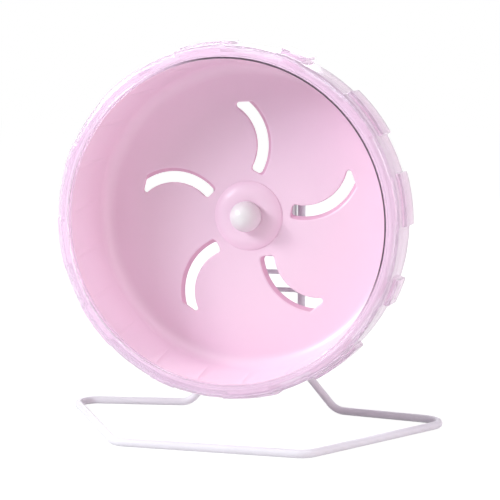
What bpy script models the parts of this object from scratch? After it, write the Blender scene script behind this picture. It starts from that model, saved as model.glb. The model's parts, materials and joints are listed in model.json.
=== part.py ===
# Hamster exercise wheel, 21 cm class, on a bent wire stand.
# Metres, +Z up, the open front of the wheel faces -Y, the floor is z = 0.
# Depths are measured backwards from the front plane of the wheel.
import math

import bmesh
import bpy
from mathutils import Vector

# Fits
SEAT_GAP = 0.0003

# Mesh resolution
TURN_STEPS = 56
SMALL_STEPS = 24
RACE_STEPS = 20
RACE_ARC_STEPS = 3
CORNER_STEPS = 5
WIRE_SIDES = 12
RUNG_SIDES = 10
BEND_STEPS = 6

# Wheel envelope, from the inner edge of the clear ring outwards
LIP_RADIUS = 0.0943
BAND_REACH = 0.0079
SKIRT_STEP = 0.0008
LUG_RISE = 0.0025
SKIRT_DRAFT = 0.0007
RING_DEPTH = 0.0340
RING_WALL = 0.0018
BAND_DEPTH = 0.0139
HEM_DEPTH = 0.0040
HEM_WALL = 0.0018
CORNER_ROUND = 0.0034
LUG_RISE_FRONT = 0.0005
LATCH_RISE = 0.0005

# Lug layout round the ring
LUG_COUNT = 12
LATCH_EVERY = 3
LUG_SPAN = math.radians(16.8)
LATCH_SPAN = math.radians(8.6)
FIRST_LUG = math.radians(98.2)
STEP_SLOPE = math.radians(0.35)
LATCH_WINDOW_SHARE = 0.56
WINDOW_WIDTH = 0.0032

# Running bowl
BOWL_WALL = 0.0024
BOWL_DRAFT = 0.0005
RIM_FLANGE = 0.0009
RIM_FLANGE_DEPTH = 0.0034
DISC_DEPTH = 0.0570
DISC_WALL = 0.0026
CORNER_RADIUS = 0.0085
TREAD_COUNT = 22
TREAD_HEIGHT = 0.0008
TREAD_WIDTH = 0.0014
TREAD_START = 0.0050
TREAD_LEAN = math.radians(-4.0)
FIRST_TREAD = math.radians(243.4)
TREAD_ROOT_SHARE = 0.6

# Swirl slots in the disc
SLOT_COUNT = 5
SLOT_CENTRE_RADIUS = 0.0476
SLOT_CENTRE_ANGLE = math.radians(117.2)
SLOT_INNER_RADIUS = 0.0280
SLOT_OUTER_RADIUS = 0.0344
SLOT_RAMP = 0.0028
SLOT_EDGE_ROUND = 0.0006
SLOT_START_ANGLE = math.radians(-26.0)
SLOT_END_RADIUS = 0.0687
SLOT_CORNER = 0.0014
SLOT_ARC_STEPS = 11

# Hub of the bowl
BOSS_RADIUS = 0.0212
BOSS_STEP = 0.0007
BOSS_HEIGHT = 0.0036
NOSE_HOLE_RADIUS = 0.0076
NOSE_LEDGE = 0.0023
HUB_WALL = 0.0034
HUB_LIP = 0.0006
HUB_FILLET = 0.0022
GUSSET_COUNT = 10
GUSSET_REACH = 0.0070
GUSSET_HEIGHT = 0.0130
GUSSET_WALL = 0.0018

# Ball bearings
BEARING_BORE = 0.0030
BEARING_OUTER = 0.0095
BEARING_WIDTH = 0.0060
RACE_BACK_WALL = 0.0015
BALL_COUNT = 7
BALL_STEPS = 8
RACE_CLEARANCE = 0.00012
SHOULDER_LIP = 0.0002
SHIELD_WALL = 0.00035
SHIELD_INSET = 0.00025
CAGE_WALL = 0.0006
CAGE_MOUTH = 0.00075
CAGE_BRIDGE = 0.00033

# Axle stack
BEARING_SPREAD = 0.0100
WASHER_RADIUS = 0.0056
WASHER_WALL = 0.0010
BOLT_HEAD_FLATS = 0.0100
BOLT_HEAD_HEIGHT = 0.0040
BOLT_CHAMFER = 0.0006
SPACER_RADIUS = 0.0046
SLEEVE_WALL = 0.0015
REAR_SPACER_RADIUS = 0.0050
REAR_SPACER_LENGTH = 0.0030
NUT_FLATS = 0.0100
NUT_HEIGHT = 0.0050
BOLT_END = 0.0010

# Hub cap
CAP_OVERHANG = 0.0017
CAP_WALL = 0.0012
CAP_PLUG_LENGTH = 0.0026
CAP_SIDE = 0.0037
CAP_STEPS = 7

# Wire stand, plan seen from above
WIRE_RADIUS = 0.0025
AXLE_HEIGHT = 0.1272
UPRIGHT_HALF = 0.0256
UPRIGHT_TOP = 0.0180
LEG_BEND_DROP = 0.0982
LEG_FOOT_HALF = 0.0483
BACK_HALF = 0.1238
BACK_DEPTH = 0.0770
FRONT_HALF = 0.0571
FRONT_BAR_DEPTH = -0.0276
BASE_BEND = 0.0115
LEG_BEND = 0.0120
TOP_BEND = 0.0080
RUNG_RADIUS = 0.0015
RUNG_COUNT = 3
RUNG_PITCH = 0.0112
FIRST_RUNG_DROP = 0.0268

# Axle carrier clamped round the bow and the uprights
CARRIER_PLATE = 0.00535
CARRIER_SIDE_WALL = 0.0022
CARRIER_TOP_WALL = 0.0020
CARRIER_DROP = 0.0180
CARRIER_CORNER = 0.0030
CARRIER_EDGE = 0.0007
CARRIER_SPLIT = 0.0007
WAIST_ABOVE = 0.0075
WAIST_BELOW = 0.0065
WAIST_CLEARANCE = 0.0014
CLAMP_WALL = 0.0024
SCREW_RADIUS = 0.0015
SCREW_HEAD_RADIUS = 0.0029
SCREW_HEAD_HEIGHT = 0.0020
SCREW_ACROSS = 0.0150
SCREW_ABOVE = 0.0110
SCREW_BELOW = 0.0120
SCREW_FLOOR = 0.0012
SCREW_SLOT_WIDTH = 0.0008
SCREW_SLOT_SHARE = 0.6
NUT_POCKET_WALL = 0.0024

# Derived radii
BAND_RADIUS = LIP_RADIUS + BAND_REACH
SKIRT_RADIUS = BAND_RADIUS + SKIRT_STEP
LUG_RADIUS = SKIRT_RADIUS + LUG_RISE
PITCH_RADIUS = (BEARING_BORE + BEARING_OUTER) / 2
BALL_RADIUS = (BEARING_OUTER - BEARING_BORE) / 2 - RACE_BACK_WALL
INNER_SHOULDER = PITCH_RADIUS - BALL_RADIUS + SHOULDER_LIP
OUTER_SHOULDER = PITCH_RADIUS + BALL_RADIUS - SHOULDER_LIP
POCKET_RADIUS = BEARING_OUTER + SEAT_GAP
HUB_RADIUS = POCKET_RADIUS + HUB_WALL
CAP_RADIUS = NOSE_HOLE_RADIUS + CAP_OVERHANG
NOSE_RADIUS = CAP_RADIUS + NOSE_LEDGE

# Derived depths along the axle
NOSE_DEPTH = DISC_DEPTH - BOSS_HEIGHT
BEARING_FRONT = DISC_DEPTH + WASHER_WALL
POCKET_FLOOR = BEARING_FRONT - SEAT_GAP
BEARING_REAR = BEARING_FRONT + BEARING_WIDTH + BEARING_SPREAD
REAR_BEARING_END = BEARING_REAR + BEARING_WIDTH
HUB_END = REAR_BEARING_END + HUB_LIP
WASHER_FRONT = BEARING_FRONT - SEAT_GAP - WASHER_WALL
BOLT_SEAT = WASHER_FRONT - SEAT_GAP
BOLT_FRONT = BOLT_SEAT - BOLT_HEAD_HEIGHT
REAR_SPACER_FRONT = REAR_BEARING_END + SEAT_GAP
REAR_SPACER_END = REAR_SPACER_FRONT + REAR_SPACER_LENGTH
CARRIER_FRONT = REAR_SPACER_END + SEAT_GAP
CARRIER_BACK = CARRIER_FRONT + CARRIER_PLATE
UPRIGHT_DEPTH = CARRIER_BACK + CARRIER_SPLIT / 2
CLAMP_FRONT = UPRIGHT_DEPTH + CARRIER_SPLIT / 2
GROOVE_RADIUS = WIRE_RADIUS + SEAT_GAP
CLAMP_BACK = UPRIGHT_DEPTH + GROOVE_RADIUS + CLAMP_WALL
NUT_FRONT = CLAMP_FRONT + NUT_POCKET_WALL + SEAT_GAP
NUT_BACK = NUT_FRONT + NUT_HEIGHT
BOLT_BACK = NUT_BACK + BOLT_END
SCREW_SEAT = CLAMP_BACK + SEAT_GAP
SCREW_TIP = CARRIER_FRONT + SCREW_FLOOR + SEAT_GAP

# The middle of the whole object in plan is x = 0, y = 0, and the wire rests on a flat side
FLAT_SIDE = WIRE_RADIUS * math.cos(math.pi / WIRE_SIDES)
FRONT_Y = -(BOLT_BACK + FRONT_BAR_DEPTH - FLAT_SIDE) / 2
BASE_Z = FLAT_SIDE

PINK = (0.80, 0.46, 0.60, 1.0)
CLEAR = (0.93, 0.88, 0.92, 1.0)
WHITE = (0.86, 0.85, 0.87, 1.0)
STEEL = (0.62, 0.62, 0.64, 1.0)
BRASS = (0.70, 0.52, 0.28, 1.0)
MATERIALS = {
    "pink_plastic": (PINK, 0.35, 0.0),
    "clear_plastic": (CLEAR, 0.12, 0.0),
    "white_plastic": (WHITE, 0.40, 0.0),
    "coated_wire": (WHITE, 0.45, 0.0),
    "steel": (STEEL, 0.28, 1.0),
    "cage_brass": (BRASS, 0.40, 1.0),
}


def clear_scene():
    for obj in list(bpy.data.objects):
        bpy.data.objects.remove(obj, do_unlink=True)


def material(kind):
    found = bpy.data.materials.get(kind)
    if found:
        return found
    colour, rough, metal = MATERIALS[kind]
    made = bpy.data.materials.new(kind)
    made.use_nodes = True
    shader = made.node_tree.nodes["Principled BSDF"]
    shader.inputs["Base Color"].default_value = colour
    shader.inputs["Roughness"].default_value = rough
    shader.inputs["Metallic"].default_value = metal
    made.diffuse_color = colour
    return made


def axle_point(depth, across=0.0, up=0.0):
    return Vector((across, FRONT_Y + depth, AXLE_HEIGHT + up))


def mesh_object(name, verts, faces, kind, origin, smooth=None, split=False):
    """One closed solid, its origin at the given point."""
    mesh = bpy.data.meshes.new(name)
    mesh.from_pydata([tuple(Vector(v) - origin) for v in verts], [], faces)
    bm = bmesh.new()
    bm.from_mesh(mesh)
    if split:
        bmesh.ops.triangulate(bm, faces=bm.faces[:])
    bmesh.ops.recalc_face_normals(bm, faces=bm.faces[:])
    bm.to_mesh(mesh)
    bm.free()
    mesh.update()
    obj = bpy.data.objects.new(name, mesh)
    obj.location = origin
    bpy.context.scene.collection.objects.link(obj)
    obj.data.materials.append(material(kind))
    if smooth is not None:
        mesh.shade_smooth()
        mesh.set_sharp_from_angle(angle=math.radians(smooth))
    return obj


def as_cutter(obj):
    obj.hide_render = True
    obj.display_type = "WIRE"
    return obj


def boolean(obj, tool, operation):
    modifier = obj.modifiers.new(operation.lower() + "_" + tool.name, "BOOLEAN")
    modifier.operation = operation
    modifier.solver = "EXACT"
    modifier.object = as_cutter(tool)


def grid_faces(rows, columns, wrap_rows):
    """Quads between rings of points; the columns always close on themselves."""
    faces = []
    last = rows if wrap_rows else rows - 1
    for i in range(last):
        j = (i + 1) % rows
        for k in range(columns):
            n = (k + 1) % columns
            faces.append((i * columns + k, i * columns + n, j * columns + n, j * columns + k))
    return faces


def even_angles(steps):
    return [2 * math.pi * k / steps for k in range(steps)]


def spun_points(profile_at, angles):
    """Closed profiles (radius, depth), one per angle, swept round the axle line."""
    verts = []
    for angle in angles:
        for radius, depth in profile_at(angle):
            across = radius * math.cos(angle)
            up = radius * math.sin(angle)
            verts.append(axle_point(depth, across, up))
    return verts


def turned(name, profile, kind, steps=SMALL_STEPS, smooth=35.0, origin_depth=DISC_DEPTH):
    """A ring-shaped solid: a closed (radius, depth) outline turned round the axle."""
    angles = even_angles(steps)
    verts = spun_points(lambda angle: profile, angles)
    faces = grid_faces(len(angles), len(profile), True)
    return mesh_object(name, verts, faces, kind, axle_point(origin_depth), smooth)


def round_corner(before, corner, after, radius, steps):
    """Points of the arc that rounds one corner of a line of points."""
    to_before = (before - corner).normalized()
    to_after = (after - corner).normalized()
    half = to_before.angle(to_after) / 2
    if radius <= 0 or half > math.pi / 2 - math.radians(2.0):
        return [corner]
    reach = radius / math.tan(half)
    room = min((before - corner).length, (after - corner).length) / 2
    reach = min(reach, room)
    fitted = reach * math.tan(half)
    middle = corner + (to_before + to_after).normalized() * (fitted / math.sin(half))
    start = corner + to_before * reach - middle
    end = corner + to_after * reach - middle
    sweep = start.angle(end)
    points = []
    for k in range(steps + 1):
        share = k / steps
        part = start * math.sin((1 - share) * sweep) + end * math.sin(share * sweep)
        points.append(middle + part / math.sin(sweep))
    return points


def rounded_loop(corners, radii, steps):
    points = []
    count = len(corners)
    for k in range(count):
        before = corners[k - 1]
        after = corners[(k + 1) % count]
        points.extend(round_corner(before, corners[k], after, radii[k], steps))
    return points


def wire_solid(name, path, radius, kind, closed, sides, origin):
    """A round wire along a line of points that starts level, ends capped where it is open."""
    count = len(path)
    tangents = []
    for k in range(count):
        if closed:
            step = path[(k + 1) % count] - path[k - 1]
        else:
            step = path[min(k + 1, count - 1)] - path[max(k - 1, 0)]
        tangents.append(step.normalized())
    upward = Vector((0, 0, 1))
    if abs(tangents[0].dot(upward)) > math.cos(math.radians(10.0)):
        upward = Vector((0, 1, 0))
    normal = (upward - tangents[0] * upward.dot(tangents[0])).normalized()
    frames = []
    for k in range(count):
        if k:
            turn = tangents[k - 1].rotation_difference(tangents[k])
            normal = turn @ normal
            normal = (normal - tangents[k] * normal.dot(tangents[k])).normalized()
        frames.append(normal.copy())
    twist = 0.0
    if closed:
        turn = tangents[-1].rotation_difference(tangents[0])
        arrived = turn @ frames[-1]
        side = tangents[0].cross(frames[0])
        twist = math.atan2(arrived.dot(side), arrived.dot(frames[0]))
    verts = []
    for k in range(count):
        side = tangents[k].cross(frames[k])
        for n in range(sides):
            angle = 2 * math.pi * (n + 1 / 2) / sides - twist * k / count
            offset = frames[k] * math.cos(angle) + side * math.sin(angle)
            verts.append(path[k] + offset * radius)
    faces = grid_faces(count, sides, closed)
    if not closed:
        faces.append(tuple(range(sides)))
        faces.append(tuple(range((count - 1) * sides, count * sides)))
    return mesh_object(name, verts, faces, kind, origin, 40.0)


def many_prisms(name, pairs, kind, origin):
    """Separate prisms held in one mesh, used as one cutter or one set of ribs."""
    verts = []
    faces = []
    for front, back in pairs:
        base = len(verts)
        count = len(front)
        verts.extend(front)
        verts.extend(back)
        for face in grid_faces(2, count, False):
            faces.append(tuple(base + k for k in face))
        faces.append(tuple(base + k for k in range(count)))
        faces.append(tuple(base + k for k in range(count, 2 * count)))
    return mesh_object(name, verts, faces, kind, origin, None, True)


def lug_angle(index):
    return FIRST_LUG - 2 * math.pi * index / LUG_COUNT


def is_latch(index):
    return index % LATCH_EVERY == 1


def lug_half_span(index):
    return (LATCH_SPAN if is_latch(index) else LUG_SPAN) / 2


def wrapped(angle):
    return (angle + math.pi) % (2 * math.pi) - math.pi


def lug_at(angle):
    """Which lug covers an angle of the ring, or None between them."""
    for index in range(LUG_COUNT):
        if abs(wrapped(angle - lug_angle(index))) <= lug_half_span(index) + STEP_SLOPE / 4:
            return index
    return None


def ring_angles():
    """Even steps round the ring, plus a close pair at each end of each lug."""
    edges = []
    for index in range(LUG_COUNT):
        for side in (-1, 1):
            edge = lug_angle(index) + side * lug_half_span(index)
            edges.append((edge, side))
    angles = []
    for edge, side in edges:
        angles.append(edge % (2 * math.pi))
        angles.append((edge + side * STEP_SLOPE) % (2 * math.pi))
    spacing = math.pi / TURN_STEPS
    for angle in even_angles(TURN_STEPS):
        if all(abs(wrapped(angle - other)) > spacing / 2 for other in angles[: 4 * LUG_COUNT]):
            angles.append(angle)
    return sorted(angles)


def ring_profile(angle):
    """Closed section of the clear ring: thin wall, rounded front, hem, skirt."""
    index = lug_at(angle)
    band = BAND_RADIUS
    skirt = SKIRT_RADIUS
    if index is not None:
        band = band + LUG_RISE_FRONT
        skirt = LUG_RADIUS + (LATCH_RISE if is_latch(index) else 0.0)
    band_in = band - RING_WALL
    skirt_in = skirt - RING_WALL
    shoulder = skirt - SKIRT_DRAFT
    step = RING_WALL / 3
    half = CORNER_ROUND / 2
    return [
        (LIP_RADIUS, HEM_DEPTH),
        (LIP_RADIUS, HEM_WALL / 2),
        (LIP_RADIUS + HEM_WALL * 2 / 3, 0.0),
        (band - CORNER_ROUND, step / 2),
        (band - CORNER_ROUND / 3, half / 2),
        (band, CORNER_ROUND),
        (band, BAND_DEPTH - step),
        (shoulder, BAND_DEPTH),
        (skirt, RING_DEPTH),
        (skirt_in, RING_DEPTH),
        (shoulder - RING_WALL, BAND_DEPTH + RING_WALL),
        (band_in, BAND_DEPTH - step + RING_WALL),
        (band_in, CORNER_ROUND + step),
        (band_in - half, RING_WALL + step),
        (LIP_RADIUS + HEM_WALL * 3 / 2, RING_WALL),
        (LIP_RADIUS + HEM_WALL, RING_WALL + step),
        (LIP_RADIUS + HEM_WALL, HEM_DEPTH),
    ]


def sector(inner, outer, middle, half_span, depth, steps=4):
    """Corner points of one flat ring sector at a depth, in order."""
    points = []
    for k in range(steps + 1):
        angle = middle - half_span + 2 * half_span * k / steps
        points.append(axle_point(depth, outer * math.cos(angle), outer * math.sin(angle)))
    for k in range(steps, -1, -1):
        angle = middle - half_span + 2 * half_span * k / steps
        points.append(axle_point(depth, inner * math.cos(angle), inner * math.sin(angle)))
    return points


def build_front_ring():
    angles = ring_angles()
    verts = spun_points(ring_profile, angles)
    faces = grid_faces(len(angles), len(ring_profile(0.0)), True)
    ring = mesh_object("front_ring", verts, faces, "clear_plastic", axle_point(0.0), 30.0)
    pairs = []
    depth_mid = (BAND_DEPTH + RING_DEPTH) / 2
    for index in range(LUG_COUNT):
        if not is_latch(index):
            continue
        half = lug_half_span(index) * LATCH_WINDOW_SHARE
        inner = LUG_RADIUS - RING_WALL * 2
        outer = LUG_RADIUS + RING_WALL
        front = sector(inner, outer, lug_angle(index), half, depth_mid - WINDOW_WIDTH / 2, 2)
        back = sector(inner, outer, lug_angle(index), half, depth_mid + WINDOW_WIDTH / 2, 2)
        pairs.append((front, back))
    windows = many_prisms("latch_window_cutter", pairs, "clear_plastic", axle_point(0.0))
    boolean(ring, windows, "DIFFERENCE")
    return ring


def corner_arc(centre_radius, centre_depth, radius, start, end, steps):
    points = []
    for k in range(steps + 1):
        angle = start + (end - start) * k / steps
        points.append((centre_radius + radius * math.cos(angle), centre_depth + radius * math.sin(angle)))
    return points


def bowl_outline():
    """Closed section of the running bowl with its disc, boss and bearing tube."""
    front = HEM_DEPTH + SEAT_GAP
    wall_in = LIP_RADIUS + SEAT_GAP
    wall_in_back = wall_in - BOWL_DRAFT
    wall_out = wall_in + BOWL_WALL
    back = DISC_DEPTH + DISC_WALL
    inner_round = CORNER_RADIUS
    outer_round = CORNER_RADIUS + BOWL_WALL
    dome = BOSS_RADIUS - NOSE_RADIUS
    points = [(wall_in, front)]
    across = wall_in_back - inner_round
    down = DISC_DEPTH - inner_round
    points += corner_arc(across, down, inner_round, 0.0, math.pi / 2, CORNER_STEPS)
    points += [
        (BOSS_RADIUS, DISC_DEPTH),
        (BOSS_RADIUS - BOSS_STEP / 3, DISC_DEPTH - BOSS_STEP),
        (NOSE_RADIUS + dome / 2, NOSE_DEPTH + BOSS_HEIGHT / 5),
        (NOSE_RADIUS, NOSE_DEPTH),
        (NOSE_HOLE_RADIUS, NOSE_DEPTH),
        (NOSE_HOLE_RADIUS, POCKET_FLOOR),
        (POCKET_RADIUS, POCKET_FLOOR),
        (POCKET_RADIUS, HUB_END),
        (HUB_RADIUS - HUB_LIP, HUB_END),
        (HUB_RADIUS, HUB_END - HUB_LIP),
        (HUB_RADIUS, back + HUB_FILLET),
        (HUB_RADIUS + HUB_FILLET / 3, back + HUB_FILLET / 3),
        (HUB_RADIUS + HUB_FILLET, back),
    ]
    across = wall_out - outer_round
    down = back - outer_round
    points += corner_arc(across, down, outer_round, math.pi / 2, 0.0, CORNER_STEPS)
    points += [
        (wall_out, front + RIM_FLANGE_DEPTH + RIM_FLANGE),
        (wall_out + RIM_FLANGE, front + RIM_FLANGE_DEPTH),
        (wall_out + RIM_FLANGE, front),
    ]
    return points


def tread_pairs():
    """Low ribs on the running surface, leaning a little from the rim to the disc."""
    pairs = []
    top = LIP_RADIUS + SEAT_GAP - TREAD_HEIGHT
    root = LIP_RADIUS + SEAT_GAP + BOWL_WALL * TREAD_ROOT_SHARE
    pitch = 2 * math.pi / TREAD_COUNT
    end = DISC_DEPTH - CORNER_RADIUS
    for k in range(TREAD_COUNT):
        front = []
        back = []
        for point, depth, lean in ((front, TREAD_START, 0.0), (back, end, TREAD_LEAN)):
            angle = FIRST_TREAD + pitch * k + lean
            along = Vector((math.cos(angle), 0, math.sin(angle)))
            aside = Vector((-math.sin(angle), 0, math.cos(angle)))
            crown = aside * (TREAD_WIDTH / 4)
            foot = aside * (TREAD_WIDTH / 2)
            middle = axle_point(depth)
            point.append(middle + along * top - crown)
            point.append(middle + along * top + crown)
            point.append(middle + along * root + foot)
            point.append(middle + along * root - foot)
        pairs.append((front, back))
    return pairs


def tab_pairs():
    """Locking tabs on the outside of the bowl, one inside each lug of the ring."""
    tall = []
    low_fronts = []
    wall_mid = LIP_RADIUS + SEAT_GAP + BOWL_WALL / 2
    front = CORNER_ROUND + RING_WALL + SEAT_GAP
    rise = BAND_DEPTH + RING_WALL + SEAT_GAP
    back = RING_DEPTH - SEAT_GAP
    for index in range(LUG_COUNT):
        side_gap = (RING_WALL + SEAT_GAP) / LUG_RADIUS + STEP_SLOPE
        half = lug_half_span(index) - side_gap
        high = LUG_RADIUS - RING_WALL - SEAT_GAP
        shoulder = high - SKIRT_DRAFT
        low = BAND_RADIUS - RING_WALL - SEAT_GAP
        angle = lug_angle(index)
        start = sector(wall_mid, shoulder, angle, half, rise)
        tall.append((start, sector(wall_mid, high, angle, half, back)))
        if not is_latch(index):
            inset = half - SEAT_GAP / LUG_RADIUS
            start = sector(wall_mid, low, angle, inset, front)
            low_fronts.append((start, sector(wall_mid, low, angle, inset, rise + SEAT_GAP)))
    return tall, low_fronts


def gusset_pairs():
    """Short ribs between the bearing tube and the back of the disc."""
    pairs = []
    root = HUB_RADIUS - HUB_LIP
    reach = HUB_RADIUS + GUSSET_REACH
    base = DISC_DEPTH + DISC_WALL / 2
    back = DISC_DEPTH + DISC_WALL
    for k in range(GUSSET_COUNT):
        angle = 2 * math.pi * (k + 1 / 2) / GUSSET_COUNT
        along = Vector((math.cos(angle), 0, math.sin(angle)))
        aside = Vector((-math.sin(angle), 0, math.cos(angle))) * (GUSSET_WALL / 2)
        one = []
        two = []
        for points, side in ((one, aside), (two, -aside)):
            points.append(axle_point(base) + along * root + side)
            points.append(axle_point(base) + along * reach + side)
            points.append(axle_point(back + HUB_LIP) + along * reach + side)
            points.append(axle_point(back + GUSSET_HEIGHT) + along * (HUB_RADIUS + HUB_LIP) + side)
            points.append(axle_point(back + GUSSET_HEIGHT) + along * root + side)
        pairs.append((one, two))
    return pairs


def slot_end_angle(radius):
    """Where an arc about the slot centre meets the circle that ends the slots."""
    reach = SLOT_END_RADIUS ** 2 - SLOT_CENTRE_RADIUS ** 2 - radius ** 2
    share = reach / (2 * radius * SLOT_CENTRE_RADIUS)
    return SLOT_CENTRE_ANGLE - math.acos(max(-1.0, min(1.0, share)))


def slot_outline(inner, outer, depth, turn):
    """Curved slot: two arcs, a round inner end, an outer end along the disc circle."""
    cx = SLOT_CENTRE_RADIUS * math.cos(SLOT_CENTRE_ANGLE)
    cz = SLOT_CENTRE_RADIUS * math.sin(SLOT_CENTRE_ANGLE)
    centre = Vector((cx, 0, cz))
    middle = (inner + outer) / 2
    half = (outer - inner) / 2
    flat = []
    end_in = slot_end_angle(inner) - SLOT_CORNER / inner
    end_out = slot_end_angle(outer) - SLOT_CORNER / outer
    for k in range(SLOT_ARC_STEPS + 1):
        angle = SLOT_START_ANGLE + (end_out - SLOT_START_ANGLE) * k / SLOT_ARC_STEPS
        flat.append(centre + Vector((math.cos(angle), 0, math.sin(angle))) * outer)
    for radius, shift in ((outer, 1), (inner, -1)):
        limit = SLOT_END_RADIUS
        angle = slot_end_angle(radius)
        corner = centre + Vector((math.cos(angle), 0, math.sin(angle))) * radius
        bearing = math.atan2(corner.z, corner.x) + shift * SLOT_CORNER / limit
        flat.append(Vector((math.cos(bearing), 0, math.sin(bearing))) * limit)
    for k in range(SLOT_ARC_STEPS, -1, -1):
        angle = SLOT_START_ANGLE + (end_in - SLOT_START_ANGLE) * k / SLOT_ARC_STEPS
        flat.append(centre + Vector((math.cos(angle), 0, math.sin(angle))) * inner)
    start = centre + Vector((math.cos(SLOT_START_ANGLE), 0, math.sin(SLOT_START_ANGLE))) * middle
    inward = Vector((math.cos(SLOT_START_ANGLE), 0, math.sin(SLOT_START_ANGLE)))
    onward = Vector((math.sin(SLOT_START_ANGLE), 0, -math.cos(SLOT_START_ANGLE)))
    for k in range(1, 5):
        angle = math.pi * (1 - k / 5)
        flat.append(start + (inward * math.cos(angle) + onward * math.sin(angle)) * half)
    points = []
    for point in flat:
        across = point.x * math.cos(turn) - point.z * math.sin(turn)
        up = point.x * math.sin(turn) + point.z * math.cos(turn)
        points.append(axle_point(depth, across, up))
    return points


def slot_pairs():
    """Each slot opens wider towards the front, along its outer curve."""
    pairs = []
    front = DISC_DEPTH
    back = DISC_DEPTH + DISC_WALL
    share = (SLOT_RAMP + SLOT_EDGE_ROUND) / DISC_WALL
    for k in range(SLOT_COUNT):
        turn = 2 * math.pi * k / SLOT_COUNT
        over = DISC_WALL / 4
        wide_in = SLOT_INNER_RADIUS - SLOT_EDGE_ROUND / DISC_WALL * over
        wide_out = SLOT_OUTER_RADIUS + SLOT_RAMP + share * over
        thin_out = SLOT_OUTER_RADIUS - share * over
        thin_in = SLOT_INNER_RADIUS + SLOT_EDGE_ROUND + SLOT_EDGE_ROUND / DISC_WALL * over
        wide = slot_outline(wide_in, wide_out, front - over, turn)
        thin = slot_outline(thin_in, thin_out, back + over, turn)
        pairs.append((wide, thin))
    return pairs


def build_wheel_bowl():
    angles = even_angles(TURN_STEPS)
    outline = bowl_outline()
    verts = spun_points(lambda angle: outline, angles)
    faces = grid_faces(len(angles), len(outline), True)
    bowl = mesh_object("wheel_bowl", verts, faces, "pink_plastic", axle_point(DISC_DEPTH), 30.0)
    origin = axle_point(DISC_DEPTH)
    boolean(bowl, many_prisms("slot_cutter", slot_pairs(), "pink_plastic", origin), "DIFFERENCE")
    boolean(bowl, many_prisms("tread_ribs", tread_pairs(), "pink_plastic", origin), "UNION")
    boolean(bowl, many_prisms("gusset_ribs", gusset_pairs(), "pink_plastic", origin), "UNION")
    tall, low_fronts = tab_pairs()
    boolean(bowl, many_prisms("lock_tabs", tall, "pink_plastic", origin), "UNION")
    boolean(bowl, many_prisms("lock_tab_fronts", low_fronts, "pink_plastic", origin), "UNION")
    return bowl


def build_hub_cap():
    """White cap with a ball-shaped top, hollow, pushed into the nose of the boss."""
    rim = NOSE_DEPTH - SEAT_GAP
    centre = rim - CAP_SIDE
    plug = NOSE_HOLE_RADIUS - SEAT_GAP
    plug_in = plug - CAP_WALL
    ball_in = CAP_RADIUS - CAP_WALL
    outer = []
    inner = []
    for k in range(CAP_STEPS + 1):
        lean = math.pi / 2 * k / CAP_STEPS
        outer.append((CAP_RADIUS * math.sin(lean), centre - CAP_RADIUS * math.cos(lean)))
    for k in range(CAP_STEPS):
        radius = plug_in * (CAP_STEPS - 1 - k) / (CAP_STEPS - 1)
        inner.append((radius, centre - math.sqrt(ball_in ** 2 - radius ** 2)))
    section = outer + [(CAP_RADIUS, rim), (plug, rim), (plug, rim + CAP_PLUG_LENGTH)]
    section += [(plug_in, rim + CAP_PLUG_LENGTH)] + inner
    return lathed_with_poles("hub_cap", section, "white_plastic", SMALL_STEPS)


def lathed_with_poles(name, section, kind, steps, smooth=35.0):
    """A turned solid whose section starts and ends on the axle line."""
    ring = section[1:-1]
    verts = [axle_point(section[0][1])]
    for angle in even_angles(steps):
        for radius, depth in ring:
            verts.append(axle_point(depth, radius * math.cos(angle), radius * math.sin(angle)))
    verts.append(axle_point(section[-1][1]))
    last = len(verts) - 1
    count = len(ring)
    faces = []
    for i in range(steps):
        j = (i + 1) % steps
        here = 1 + i * count
        there = 1 + j * count
        faces.append((0, here, there))
        for k in range(count - 1):
            faces.append((here + k, here + k + 1, there + k + 1, there + k))
        faces.append((last, there + count - 1, here + count - 1))
    return mesh_object(name, verts, faces, kind, axle_point(section[0][1]), smooth)


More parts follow.
